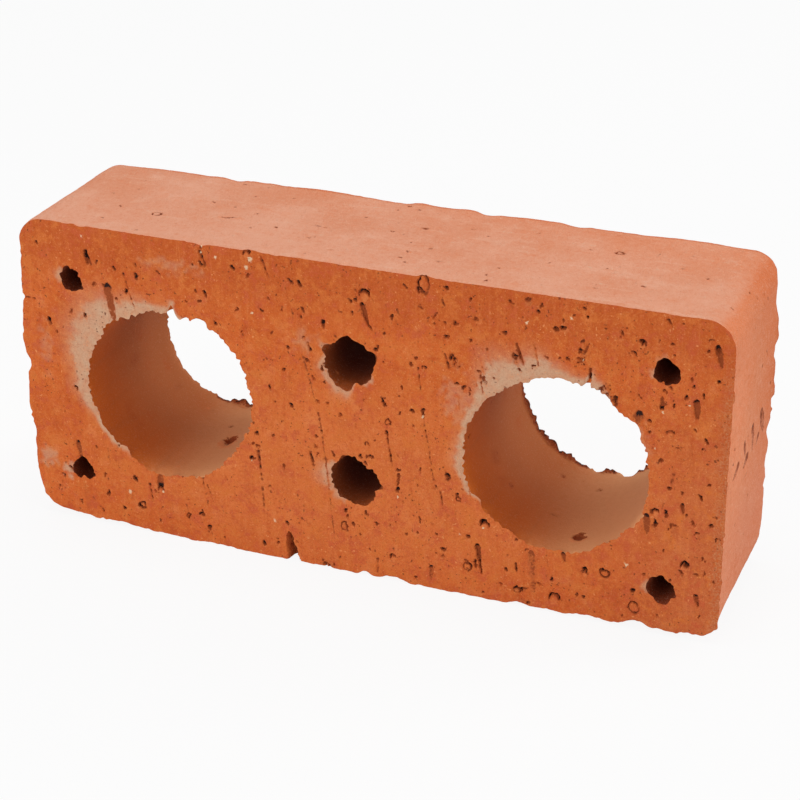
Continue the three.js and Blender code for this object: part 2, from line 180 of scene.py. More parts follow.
REAR_NICKS = (
    (-64, 105, 3.2, 0.5), (-8, 105, 6, 0.4), (22.5, 105, 3.4, 0.5), (51.5, 105, 3.4, 0.4),
    (-106, 105, 8, 0.4), (16, 105, 4, -0.5), (-33, 105, 10, -0.4), (0, 105, 4, -0.3),
    (40, 105, 9, -0.4), (88, 105, 12, -0.4), (115, 94, 7, 1.1), (115, 81, 4.4, -0.6),
    (115, 74.5, 5, -0.4), (115, 60.6, 2.6, -0.9), (115, 66, 3, -0.5), (115, 46.5, 2.8, 0.8),
    (115, 28, 1.6, 0.5), (115, 34, 5, 0.3), (115, 59, 0.7, -0.5), (115, 53.5, 0.6, -0.5),
)
# The split in the front lower edge: its foot's and its apex's x, its height, its half width and depth.
SPLIT = (-22.5, -24.1, 10.6, 2.2, 4.5)

# ---- Marks of the front face, in millimetres from the middle of the base ----
# Scores and grooves: from x, z to x, z, then width and depth. Some grooves add how brown their floor is.
SCORES = (
    (-51, 102.5, -49, 97.5, 0.9, 0.9), (-30.5, 103.5, -28, 96.5, 0.6, 0.7),
    (-23, 95.5, -20, 84.5, 0.5, 0.15), (-17.5, 73, -13, 54.5, 0.5, 0.15), (-13, 54.5, -11, 39, 0.6, 0.3),
    (-11, 39, -8, 6.5, 0.5, 0.15),
    (-78, 91, -74.5, 79, 0.6, 0.6), (-34, 37.5, -33, 28, 0.9, 0.55), (-33, 28, -32.5, 13, 0.8, 0.3),
    (-54, 24, -53.5, 19.5, 0.7, 0.6), (-52.5, 22, -50.5, 15.5, 0.5, 0.4), (-73.5, 18, -72.5, 11, 0.6, 0.7),
    (9.5, 52.5, 11.5, 40, 0.6, 1), (20, 75.5, 21, 67, 0.5, 0.5), (21.5, 60.5, 24.5, 41, 0.5, 0.3),
    (24.5, 41, 26, 30, 0.4, 0.1), (27.5, 98.5, 28.5, 96, 0.6, 0.7), (50.5, 88, 53, 81.5, 0.9, 1.1),
    (56, 89, 57.5, 82, 0.7, 0.4), (39.5, 77, 40.5, 70, 0.5, 0.5), (27, 35, 28, 29, 0.6, 0.5),
    (51.5, 15, 52, 12, 0.8, 1), (-16, 40.5, -15, 35.5, 1, 1), (6, 7, 6, 1, 0.8, 0.5),
    (99, 55, 98.5, 51, 1.2, 0.5), (28.5, 81.5, 30, 76.5, 0.7, 0.9),
    (72.5, 92, 71, 88, 0.6, 0.8), (73, 84, 73, 80.5, 1.1, 1.6),
    (-91, 96.5, -89, 92, 1.2, 1), (95, 103, 96.5, 101, 0.8, 1), (-114, 77.5, -110, 77.5, 0.5, 0.6),
    (-16, 77.5, -15, 75, 1.1, 0.9), (38.5, 13.5, 38.5, 11, 0.8, 1), (35, 12.5, 39, 12.5, 0.6, 0.8),
    (106.5, 49.5, 108, 48, 0.6, 0.8), (-103, 19, -101, 17, 0.7, 0.8),
)
GROOVES = (
    (-84, 86.5, -82, 74, 3.1, 0.35, 0.4), (-69.5, 17.5, -69.5, 23.5, 2.9, 0.6, 0.3),
    (56.5, 20, 57.5, 6, 2.4, 0.2, 0.24),
    (24, 8, 24, 3, 1.5, 0.6), (109.5, 97, 111, 90.5, 2, 1.1), (94.5, 75, 94.5, 79, 1.4, 1.1),
    (104.5, 79.5, 105, 73.5, 2.2, 1.1), (91.5, 40, 92, 33.5, 2.5, 0.5, 0.32),
    (88, 73, 88, 68.5, 3.5, 0.2, 0.35), (102, 45.5, 102.5, 42, 1.3, 1.1),
    (107.5, 16, 108.5, 12, 1.4, 0.9), (39, 19, 40, 12.5, 1.9, 1.7), (40, 13, 40.5, 8.5, 0.8, 1.6),
    (2, 93.5, 4, 86.5, 1.7, 1.4), (-99, 29, -98, 22, 1.8, 0.6, 0.3), (-97.5, 14, -97, 3.5, 2.5, 0.1, 0.12),
    (66.5, 21.5, 67, 18.5, 1.5, 0.9), (13.5, 38.5, 13, 34, 1.1, 1.2),
)
# Pits: x, z, length, width and lean in degrees, the lower end towards +X.
PITS = (
    (-106, 70.5, 2.5, 1.4, 5), (-108, 97, 1.3, 0.9, 20), (-90.5, 94.5, 4, 1.5, 0),
    (-73.5, 90.5, 2.4, 1.2, 20), (-77.5, 85, 2.2, 1, 0), (-92.5, 74.5, 1.6, 1.3, 20),
    (-50, 88.5, 2.4, 0.9, 12), (-40, 98.5, 1.5, 1.1, 20), (-46.5, 79, 1.4, 1.1, 30), (-98, 48, 2.2, 0.8, 15),
    (-78.5, 18.5, 2.6, 1, 12), (-77, 9, 2.4, 1.5, 30), (-89, 11.5, 2.2, 1.2, -20),
    (-54.5, 11, 1.8, 0.9, -10), (-52.5, 6, 2, 1.2, 0), (-105, 15.5, 1.8, 0.9, 40), (-18, 96.5, 2.2, 1.2, 10),
    (-10.5, 84.5, 2.5, 1.2, -10), (-1, 89.5, 1.5, 0.8, 0), (20, 100.5, 1.6, 1.3, 0), (6.5, 79, 1.6, 1.1, 30),
    (8.5, 62.5, 2.5, 0.9, 8), (18, 61, 1.6, 1.6, 0), (21.5, 61.5, 1.8, 1, 10), (-22, 55, 1.8, 0.9, 30),
    (-34, 43.5, 1.8, 1, -15), (-36, 34.5, 1.5, 1.7, 20), (13, 32.5, 1.6, 1.3, -10), (-4.5, 22, 1.3, 1.2, 0),
    (-24.5, 13.5, 1.6, 0.9, 0), (-33, 4, 2, 1, 0), (20.5, 41.5, 2, 0.9, -8), (20.5, 23.5, 2.2, 0.9, 0),
    (29, 102.5, 1.6, 1.3, 15), (47, 91, 1.5, 0.9, -50), (32.5, 72.5, 1, 1.4, 0), (34.5, 71.5, 1, 1.8, 35),
    (57, 99.5, 1.2, 1.1, 0), (62.5, 95, 1.8, 1.9, -20), (64.5, 95.5, 1.8, 1.9, 20),
    (69.5, 89.5, 2.4, 1, -25), (81, 76, 1.5, 1.4, -30), (29.5, 41, 1.6, 1.1, 20), (32.5, 35, 1.3, 1.1, 0),
    (41, 27, 1.6, 1.7, 0),
    (28, 15, 1.8, 1, 15), (48.5, 12, 2, 1.4, 20), (73.5, 17.5, 1.6, 1.4, 0), (88, 95, 1.6, 2, 0),
    (110.5, 86.5, 1.4, 1.4, 0), (101.5, 80, 1.9, 1, 5), (95, 58.5, 1.3, 1.4, 15), (98, 50, 1.4, 1.5, 0),
    (107.5, 48.5, 1.8, 0.9, 20), (111, 40, 1.3, 1.3, 0), (104.5, 25.5, 2.6, 2, -40),
    (88.5, 13.5, 1.4, 1.1, 0),
)
# Patches of pale bloom away from the holes: x, z, height, width, strength.
BLOOM_SPOTS = (
    (-110.5, 22, 7, 5, 0.55), (-103.5, 17, 4, 3.5, 0.8), (-60, 96, 3.5, 18, 0.3), (-108, 62, 12, 4, 0.25),
    (-88, 74, 9, 12, 0.35), (33, 66, 14, 9, 0.3), (-17, 80, 8, 6, 0.3), (88, 62, 12, 5, 0.25),
)
# Torn patches of loose crumbs: x, z, length, width, lean.
CRUMBLED = (
    (31.5, 79.5, 5, 3, 15), (77.5, 77.5, 5.5, 3.5, -35), (71, 88.5, 3, 2, 10), (70, 86, 2, 3.5, -30),
    (54, 102, 3.5, 2.5, 0), (50.5, 83.5, 5, 2.5, 5), (53, 6, 2, 4.5, 0), (54.5, 2, 1.5, 4, -15),
    (29.5, 40.5, 3, 1.5, 25),
    (-11, 1.5, 2.5, 4.5, -10), (80, 75, 2.5, 3, -35), (87, 67, 1.5, 1.5, 0),
)
# Loosened grains with a crack round them: x, z, length, width, lean.
RINGS = (
    (22, 102.5, 6, 2.9, 0), (36, 10.5, 2.6, 2.4, 0), (89, 7.5, 3.6, 3.4, 0), (10, 55.5, 2, 1.6, 0),
    (-76.5, 9.5, 2.6, 2.2, 0), (33, 33.5, 1.6, 1.3, 0), (52.5, 5.5, 1.4, 2.4, 0), (-60, 9, 1.5, 1.2, 0),
    (-5, 16, 3, 2, 0), (79.5, 17.5, 2.4, 3, 0),
)
# Grains dragged down by the wire, with the hollow that each left above it: x, z, size, lean.
GRAINS = (
    (3, 96, 3.2, 0), (41.5, 26, 2.8, 0), (-69.5, 16, 2.2, 0), (88.5, 94, 1.5, 0), (85.5, 90.5, 1.6, 0),
    (94, 41, 2.4, 15), (100, 37, 2.2, 10), (64, 5, 3.2, 0), (104, 25, 2.6, 0), (4, 42, 1.8, 0),
    (-35, 103.5, 2.4, 0), (97.5, 67.5, 1.8, 0), (11.5, 8, 2.2, 0), (73.5, 16, 1.8, 0), (-55, 10, 1.8, 0),
    (3, 46.5, 1.5, 0),
)
# Pale flecks of lime: x, z, size.
FLECKS = (
    (-92, 101.5, 1.1), (-50, 104, 1.5), (-34, 102, 1.9), (21.5, 59.5, 1.4), (20.5, 58.5, 0.9), (41, 25, 1.4),
    (-36, 33.5, 1), (-68.5, 16, 1), (-81, 14, 1.2), (13, 30.5, 1.3), (102.5, 77.5, 0.9), (94.5, 74, 1.1),
    (54, 96, 0.9), (33.5, 21, 1), (86.5, 21.5, 1),
)

# ---- Marks of the rear face: the same kinds, fewer of them ----
REAR_SCORES = (
    (-24.8, 83, -19.2, 32, 0.6, 0.6), (15.6, 70, 21, 36, 0.9, 0.9),
    (-8.2, 19.6, -5.6, 7.8, 1.6, 1.1), (105.4, 72.8, 107.8, 53.2, 0.9, 0.8),
    (-108.2, 60, -105.8, 34.4, 0.8, 0.7), (34, 100, 36, 88, 0.7, 0.7),
    (-40.2, 26, -38.6, 12, 1, 0.9), (88, 34, 89.4, 24, 1.2, 1),
)
REAR_GROOVES = ((30.4, 22, 31.2, 11, 1.8, 0.9), (-84, 92, -83, 84, 2, 1))
REAR_PITS = (
    (-34.5, 96.1, 4.2, 2.2, -15), (28.8, 93.5, 3.4, 2.6, 30), (80.5, 11.6, 4.6, 2, -10),
    (-82.8, 10.5, 3.4, 2.6, 45), (4, 60, 1.6, 1.2, 0), (-14, 50, 2, 1.2, 10),
)
REAR_RINGS = ((45, 96, 4, 3, 10), (-28, 10, 3.2, 3, 0), (108, 90, 2.6, 2.2, 0))
REAR_GRAINS = ((-70, 97, 3, 0), (10, 10, 2.6, 0), (-112, 20, 2.2, 0), (60, 8, 2.8, 0))
REAR_FLECKS = ((-20, 101, 1.4), (70, 99, 1.2), (-100, 60, 1.2), (24, 6, 1.4))

# ---- Marks of the skin and of the holes' walls ----
GOUGE_DEPTH, GOUGE_BROWN = 0.14, 0.27  # of the deepest gouge, and of the floor of each
# Gouges in the right header: from y, z to y, z, then width and share of the full depth.
END_GOUGES = (
    (13.5, 59, 18, 50.5, 6, 0.6), (2.5, 59.5, 3.5, 50.5, 4.5, 0.9), (-8.5, 59, -7.5, 54, 4, 1),
    (-3, 52.5, -9, 51, 4.5, 0.8), (-16, 56, -22.5, 53.5, 3.5, 0.7), (11.5, 52.5, 9, 50, 3.5, 0.5),
    (-2.5, 46, -7.5, 46, 0.6, 0.2),
)
# Marks of the top skin: x, y, length, width, lean. The skin's other marks are scattered by seed.
TOP_PITS = (
    (8.5, 8, 1.4, 3.2, 0), (-52, -4.5, 0.8, 5, 10), (99, 0.5, 1, 1, 0), (112, -0.5, 1, 1.4, 0),
    (110, -15.5, 0.9, 0.9, 0), (-3, 24, 1, 1.6, 0), (1, 22, 1, 1.6, 0), (10.5, -11.5, 2.4, 0.8, 50),
    (12.5, -19.5, 2.4, 0.8, 50), (-20.5, -2, 0.7, 1.6, 0), (40, -14, 0.8, 0.8, 0), (61, 9, 0.8, 1, 0),
)
TOP_RINGS = ((-74.5, -9.5, 2.4, 2.6, 0), (70, 10, 1.6, 2.4, 0))
# Pits of the holes' walls: number of the hole, angle in degrees, y, length along the hole, width, depth.
BORE_PITS = ((0, 284, 0, 7, 4.5, 1.4), (1, 281, -17, 5.5, 3.5, 1), (1, 175, -22.5, 2, 1.2, 0.6))
# Faint smudges of the walls: the same, without a depth.
BORE_SMUDGES = ((0, 225, 15.5, 9, 2.5), (0, 190, 2, 12, 9), (1, 262, 17, 7, 2), (1, 205, -6, 10, 8))

LATTICE_SIDE = 64
LATTICE = np.random.default_rng(20).uniform(-1.0, 1.0, (LATTICE_SIDE,) * 3)


# ---- Noise and steps ----
def wander(x, y, z, step, seed=0.0):
    """Smooth seeded noise from about -1 to 1. Its humps are step millimetres apart."""
    place = np.stack(np.broadcast_arrays(x, y, z), -1) / step + seed * np.array((7.31, 3.17, 5.73)) + 300.0
    cell = np.floor(place).astype(int)
    part = place - cell
    part = part * part * (3 - 2 * part)
    total = np.zeros(len(place))
    for corner in np.ndindex(2, 2, 2):
        share = np.prod(np.where(corner, part, 1 - part), axis=-1)
        i, j, k = np.moveaxis((cell + corner) % LATTICE_SIDE, -1, 0)
        total += share * LATTICE[i, j, k]
    return 1.5 * total


def waves(x, y, z, *layers):
    """The sum of several noises, each given by its height, the step between its humps and its seed."""
    return sum(height * wander(x, y, z, step, seed) for height, step, seed in layers)


def ease(value, low, high):
    """0 below low and 1 above high, with a smooth step between them. Low may be the larger one."""
    share = np.clip((value - low) / (high - low), 0, 1)
    return share * share * (3 - 2 * share)


def fade(distance, reach):
    """1 at an edge, falling to 0 at the given distance from it."""
    return np.clip(1 - distance / reach, 0, 1) ** 1.6


def circle(radius, angle):
    """The x and z of points round an axis."""
    return radius * np.cos(angle), radius * np.sin(angle)


def round_mouth(angles, places):
    """The sum of bumps round a mouth. Angles and places are in degrees."""
    total = np.zeros(len(angles))
    for angle, spread, reach in places:
        away = np.abs((angles - angle + 180) % 360 - 180)
        total += reach * ease(away, 1.6 * spread, 0.2 * spread)
    return total


# ---- The section and the holes ----
class Outline:
    """The section's outline as the die leaves it, by arc length from the middle of the underside, and
    anticlockwise as seen from the front."""

    def __init__(self, sizes):
        right, radius = LENGTH / 2, sizes.corner_radius
        flat, lift = sizes.underside_flat / 2, sizes.underside_lift
        start, low, high = right - radius, lift + radius, HEIGHT - radius
        share = np.linspace(0, 1, 200)[:, None]
        bow = np.hstack([flat + (start - flat) * share, lift * share**2])

        def line(a, b):
            return np.array(a) + (np.array(b) - np.array(a)) * np.linspace(0, 1, 300)[:, None]

        def corner(x, z, quarter):
            return np.stack(circle(radius, TURN / 4 * (quarter + np.linspace(0, 1, 60))), 1) + (x, z)

        path = np.concatenate([
            line((0, 0), (flat, 0)), bow, corner(start, low, 3),
            line((right, low), (right, high)), corner(start, high, 0),
            line((start, HEIGHT), (-start, HEIGHT)), corner(-start, high, 1),
            line((-right, high), (-right, low)), corner(-start, low, 2),
            bow[::-1] * (-1, 1), line((-flat, 0), (0, 0)),
        ])
        steps = np.hypot(*np.diff(path, axis=0).T)
        self.path = path[np.append(True, steps > 1e-9)]
        self.along = np.append(0, np.cumsum(np.hypot(*np.diff(self.path, axis=0).T)))
        self.length = self.along[-1]

    def place(self, s):
        s = np.asarray(s) % self.length
        return np.interp(s, self.along, self.path[:, 0]), np.interp(s, self.along, self.path[:, 1])

    def normal(self, s):
        (x0, z0), (x1, z1) = self.place(s - 0.8), self.place(s + 0.8)
        size = np.hypot(x1 - x0, z1 - z0)
        return (z1 - z0) / size, -(x1 - x0) / size

    def nearest(self, x, z):
        return self.along[np.argmin(np.hypot(self.path[:, 0] - x, self.path[:, 1] - z))]

    def bumps(self, s, places):
        """The sum of the nicks and swellings along the outline at s."""
        total = np.zeros(len(s))
        for x, z, spread, reach in places:
            middle = self.nearest(x, z)
            away = np.abs((s - middle + self.length / 2) % self.length - self.length / 2)
            total += reach * ease(away, 1.5 * spread, 0.15 * spread)
        return total

    def wear(self, s, side):
        """How far the arris is worn in, at the front or the rear face. It is calmest along the top."""
        x, z = self.place(s)
        uneven = waves(x, 40 * side, z, (0.24, 3.1, 1), (0.16, 1.2, 2), (0.18, 17, 3))
        crumbly = 0.35 + 0.65 * ease(wander(x, 40 * side, z, 9, 4), -0.2, 0.7)
        crumbly = crumbly * np.where(z > HEIGHT - 4, 0.5, 1.6)
        return 0.15 + crumbly * uneven + self.bumps(s, FRONT_NICKS if side == FRONT else REAR_NICKS)


class Hole:
    """One hole through the brick, with the tears of its two mouths."""

    TORN_IN = 1.8  # a thin flap of clay that the wire pushed inwards ends at this depth
    TORN_OUT = 4.0  # where clay was pulled out, the wall slopes to the tear over this depth
    TORN_REAR = 3.6

    def __init__(self, sizes, number, kind, x, z, tears, rear_tears, burrs, bloom):
        self.number, self.kind, self.x, self.z, self.seed = number, kind, x, z, 10.0 * (number + 1)
        self.radius = {GRIP: sizes.grip_radius, CORE: sizes.core_radius, PIN: sizes.pin_radius}[kind]
        self.tears, self.rear_tears, self.burrs, self.bloom_places = tears, rear_tears, burrs, bloom

    def around(self, radius, angle):
        x, z = circle(radius, angle)
        return self.x + x, self.z + z

    def ragged(self, angle, side):
        """Fine raggedness of a mouth, the same at the end of a turn as at its start."""
        x, z = self.around(self.radius, angle)
        return self.kind.mouth_rough * waves(x, 60 * side, z, (0.2, 2.6, self.seed), (0.42, 0.85, self.seed))

    def radius_at(self, angle, y):
        """The wall's distance from the axis. The mouths' tears fade into the wall."""
        turned = np.degrees(angle) % 360
        from_front, from_rear = y + HALF, HALF - y
        torn = round_mouth(turned, self.tears) + self.ragged(angle, FRONT)
        torn_rear = round_mouth(turned, self.rear_tears) + self.ragged(angle, REAR)
        x, z = self.around(self.radius, angle)
        front = torn * fade(from_front, np.where(torn < 0, self.TORN_IN, self.TORN_OUT))
        rear = torn_rear * fade(from_rear, self.TORN_REAR)
        burr = round_mouth(turned, self.burrs) * (0.75 + 0.5 * wander(x, 7, z, 1.5, self.seed))
        rear = rear - np.maximum(burr, 0) * ease(from_rear, 1.5, 0.7)
        die_lines = 0.1 * wander(x, y / 40, z, 2.3, self.seed + 1)
        die_lines = die_lines + 0.14 * wander(x, y / 9, z, 9, self.seed + 2)
        return self.radius + front + rear + die_lines * (ease(from_front, 0, 3) * ease(from_rear, 0, 3))

    def rim(self, angle, side):
        return self.radius_at(angle, np.full(len(angle), side * HALF))

    def away(self, x, z, side):
        """How far points of a cut face lie from the mouth's rim, and their angles in degrees."""
        angle = np.arctan2(z - self.z, x - self.x)
        turn = np.linspace(-math.pi, math.pi, 1441)
        gap = np.hypot(x - self.x, z - self.z) - np.interp(angle, turn, self.rim(turn, side))
        return gap, np.degrees(angle) % 360


# ---- The marks ----
ALL = slice(None)  # every point of a relief


class Relief:
    """The relief and the stains of one stretch of surface, gathered at points given in millimetres across
    and up. Its a and b are the same places, shifted a little, so that the marks have rough outlines. A lift
    is positive outwards. The stains, among them painted shade in hollows and holes, run from 0 to 1."""

    def __init__(self, across, up, seed, lean=0.0, rough=1.0):
        self.across, self.up, self.seed, self.lean, self.rough = across, up, seed, lean, rough
        self.a = across + rough * waves(across, seed, up, (0.27, 1.7, 1), (0.2, 0.7, 2))
        self.b = up + rough * waves(across, seed, up, (0.27, 1.7, 3), (0.2, 0.7, 4))
        self.crumbs, self.grains = wander(across, seed, up, 1.0, 31), wander(across, seed, up, 0.6, 37)
        self.lift, self.hollow, self.crumb, self.fleck = (np.zeros(len(across)) for _ in range(4))
        self.bloom, self.rim, self.soot, self.bare = (np.zeros(len(across)) for _ in range(4))

    def near(self, a, b, reach):
        return np.flatnonzero((np.abs(self.a - a) < reach) & (np.abs(self.b - b) < reach))

    def around(self, a, b, reach, lean):
        """The points near a mark whose lower end leans towards +across, and how far they lie along it
        and across it."""
        which, angle = self.near(a, b, reach), math.radians(lean + self.lean)
        da, db = self.a[which] - a, self.b[which] - b
        along = da * math.sin(angle) - db * math.cos(angle)
        return which, along, da * math.cos(angle) + db * math.sin(angle)

    def lengthwise(self, a0, b0, a1, b1, width):
        """The points near a line, and how far they lie along it, across it and as a share of it."""
        reach = math.hypot(a1 - a0, b1 - b0)
        which = self.near((a0 + a1) / 2, (b0 + b1) / 2, reach / 2 + 2 * width)
        da = 0.35 * self.a[which] + 0.65 * self.across[which] - a0
        db = 0.35 * self.b[which] + 0.65 * self.up[which] - b0
        ua, ub = (a1 - a0) / reach, (b1 - b0) / reach
        along, across = da * ua + db * ub, da * ub - db * ua
        return which, along, across, np.clip(along / reach, 0, 1), reach

    def stain(self, mask, which, amount):
        mask[which] = np.maximum(mask[which], np.clip(amount, 0, 1))

    def pit(self, a, b, length, width, lean, depth=None, dark=1.0):
        """A crumb of clay pulled out: painted shadow, blackest under its upper lip, and its lower lip
        raised, and pale with a painted highlight.
        """
        depth = 0.55 * min(length, width) + 0.25 if depth is None else depth
        which, along, across = self.around(a, b, length + width, lean)
        away = np.hypot(along / (length / 2), across / (width / 2)) + 0.2 * self.crumbs[which]
        away = away + (0.4 if width < 1 else 0.15) * self.grains[which]
        under = 0.5 + 0.5 * ease(along, 0.32 * length, -0.1 * length)
        lip = ease(away, 2.0, 1.4) * ease(away, 1.0, 1.3) * ease(along, -0.1 * length, 0.4 * length)
        self.lift[which] -= depth * ease(away, 1.15, 0.45)
        self.lift[which] += 0.1 * lip
        self.stain(self.hollow, which, dark * under * ease(away, 1.2, 0.75))
        self.stain(self.crumb, which, 0.85 * lip)

    def score(self, a0, b0, a1, b1, width, depth, dark=1.0):
        """A scratch that a dragged grain left, painted with shade: brown, with black knots and a black head.
        """
        which, along, across, share, reach = self.lengthwise(a0, b0, a1, b1, width)
        broken = wander(along, a0, b0, 2.2, self.seed)
        knots = min(1.0, 0.5 + depth) * wander(along, a0, b0, 0.9, self.seed + 1)
        half = width / 2 * (0.95 + 0.3 * broken + 0.2 * knots) * (1 - 0.4 * share)
        ends = ease(along, -0.6 * width, 0.3 * width) * ease(along, reach + 0.5 * width, 0.8 * reach)
        shape = ease(np.abs(across), half * 1.1 + 0.12, half * 0.35) * ends
        black = 0.22 + 0.44 * min(1.0, depth) + 0.4 * knots + 0.25 * ease(along, 1.2, 0.0)
        self.lift[which] -= depth * shape * (0.7 + 0.3 * knots)
        self.stain(self.hollow, which, dark * shape * black)
        self.stain(self.bare, which, shape)

    def groove(self, a0, b0, a1, b1, width, depth, brown=0.18):
        """A wide furrow with a crisp edge, painted with shade: black at its head, with a smooth brown floor
        that runs out.
        """
        which, along, across, share, reach = self.lengthwise(a0, b0, a1, b1, width)
        ends = np.clip(along / (0.7 * width) + 0.3, 0, 1) * np.clip((reach - along) / width + 0.1, 0, 1)
        narrow = np.maximum(width * (1 - 0.35 * share) * np.sqrt(ends), 0.01)
        shape = ease(np.abs(across), 0.6 * narrow, 0.38 * narrow) * ease(ends, 0.0, 0.15)
        head = ease(along, 0.9 * width, 0.1 * width)
        black = brown + 0.45 * depth * (0.6 + 0.4 * head) + 0.2 * head * (0.8 + 1.2 * self.crumbs[which])
        black = black + 0.5 * min(1.0, 2 * depth) * ease(along + 0.3 * self.crumbs[which], 0.5 * width, 0.1)
        self.lift[which] -= depth * shape * (0.6 + 0.4 * head)
        self.stain(self.hollow, which, shape * black)
        self.stain(self.bare, which, shape)

    def ring(self, a, b, length, width, lean):
        """A grain that has come loose, with a thin crack round it, painted dark with shade."""
        which, along, across = self.around(a, b, length + width, lean)
        away = np.hypot(along / (length / 2), across / (width / 2))
        gap = np.abs(away - 1) * min(length, width) / 2
        upper = 0.8 + 0.2 * ease(along, 0.3 * length, -0.3 * length)
        crack = ease(gap, 0.34, 0.08) * upper * (0.85 + 0.35 * self.crumbs[which])
        self.lift[which] += 0.18 * ease(away, 0.95, 0.5) - 0.8 * crack
        self.stain(self.hollow, which, crack)
        self.stain(self.crumb, which, 0.35 * ease(away, 0.9, 0.6))

    def grain(self, a, b, size, lean):
        """A grain dragged down a little: a black arch of painted shadow above it, thickest at its top, and
        the pale grain.
        """
        which, along, across = self.around(a, b, 2 * size, lean)
        away = np.hypot(along / (0.62 * size), across / (0.5 * size)) + 0.12 * self.crumbs[which]
        top = ease(along, 0.1 * size, -0.5 * size)
        arch = ease(np.abs(away - 0.98), 0.16 + 0.22 * top, 0.05) * ease(along, 0.3 * size, -0.15 * size)
        arch = arch * (0.9 + 0.4 * self.crumbs[which])
        body = ease(np.hypot((along - 0.2 * size) / 0.5, across / 0.42) / size, 1.1, 0.6)
        self.lift[which] += 0.22 * body - 0.75 * arch * min(1.4, size / 2)
        self.stain(self.hollow, which, np.maximum(arch, 0.3 * top * ease(away, 1.05, 0.8)))
        self.stain(self.crumb, which, 0.8 * body * (0.8 + 0.4 * self.crumbs[which]))

    def crumble(self, a, b, length, width, lean):
        """A torn patch: loose crumbs with black gaps of painted shade between them."""
        which, along, across = self.around(a, b, length + width, lean)
        inside = ease(np.hypot(along / (length / 2), across / (width / 2)), 1.25, 0.8)
        torn = 0.55 * self.crumbs[which] + 0.75 * self.grains[which]
        gaps, loose = inside * ease(torn, 0.15, 0.5), inside * ease(torn, -0.1, -0.5)
        self.lift[which] += 0.2 * loose - 0.7 * gaps
        self.stain(self.hollow, which, np.maximum(0.2 * inside, 0.75 * gaps))
        self.stain(self.crumb, which, loose)

    def speck(self, a, b, size):
        """A pale fleck of lime."""
        which = self.near(a, b, 2 * size)
        away = np.hypot(self.a[which] - a, (self.b[which] - b) * 0.8) / (0.3 * size)
        self.lift[which] += 0.12 * ease(away, 1.1, 0.5)
        self.stain(self.fleck, which, ease(away, 1.25, 0.7))

    def marks(self, scores, grooves, pits, rings, grains, flecks, crumbled=()):
        """Each kind of mark, from its list."""
        kinds = ((self.score, scores), (self.groove, grooves), (self.pit, pits), (self.ring, rings),
                 (self.grain, grains), (self.crumble, crumbled), (self.speck, flecks))
        for draw, places in kinds:
            for mark in places:
                draw(*mark)

    def scatter(self, rng, pits, scores, grains, flecks):
        """The small marks that no one would count, at seeded places of a cut face. They crowd a little
        towards +X and the top."""
        low, high = np.array((-LENGTH / 2 + 2, 1.5)), np.array((LENGTH / 2 - 2, HEIGHT - 1.5))

        def places(count):
            return low + (high - low) * rng.uniform(0, 1, (count, 2)) ** (0.7, 0.85)

        for a, b in places(pits):
            width = rng.uniform(0.45, 1.0)
            length, lean = width * rng.uniform(1.1, 2.6), rng.uniform(-40, 60)
            self.pit(a, b, length, width, lean, dark=rng.uniform(0.45, 1.0))
        for a, b in places(scores):
            reach, lean = rng.uniform(2.5, 9.0), math.radians(self.lean + rng.normal(0, 2.5))
            foot = (a + reach * math.sin(lean), b - reach * math.cos(lean))
            self.score(a, b, *foot, rng.uniform(0.3, 0.55), rng.uniform(0.08, 0.25), rng.uniform(0.3, 0.6))
        for a, b in places(grains):
            self.grain(a, b, rng.uniform(0.8, 1.5), rng.uniform(-30, 30))
        for a, b in places(flecks):
            self.speck(a, b, rng.uniform(0.4, 0.8))

    def worn_edge(self, hole, x, z, side, patchy, crumbs):
        """A hole's worn rim on a cut face, with the pale bloom round it."""
        gap, angle = hole.away(x, z, side)
        near = ease(gap, hole.kind.rim_reach, -0.3)
        width = np.maximum(round_mouth(angle, hole.bloom_places) + 0.3 * patchy, 0.05)
        cover = ease(gap + 0.12 * width * (patchy + crumbs), width, 0.65 * width) * ease(width, 0.3, 1.0)
        halo = 0.36 * ease(gap, 1.6 * width + 1, 0.5 * width) * ease(width, 1.0, 4.0)
        cover = hole.kind.bloom * cover * (0.86 + 0.14 * crumbs)
        self.lift += near * (0.24 * crumbs - 0.12) * self.rough
        self.stain(self.rim, ALL, near)
        self.stain(self.bloom, ALL, np.maximum(cover, halo))

    def split(self, z, crumbs):
        """The split in the lower edge, a wedge that narrows upwards, its painted shadow darkest on its
        right.
        """
        foot, apex, tall, half_foot, depth = SPLIT
        share = np.clip(z / tall, 0, 1)
        middle, half = foot + (apex - foot) * share**0.6, half_foot * (1 - share) ** 0.55
        across = (self.a - middle) / np.maximum(half, 0.1)
        inside = np.where(half > 0.1, ease(np.abs(across), 1.08, 0.55), 0)
        lip = np.where(half > 0.1, ease(np.abs(across - 1.25), 0.35, 0.1), 0)
        self.lift -= depth * inside * (half / half_foot) ** 0.5
        self.stain(self.hollow, ALL, inside * (0.3 + 0.7 * ease(across + 0.3 * crumbs, -0.35, 0.2)))
        self.stain(self.crumb, ALL, lip)


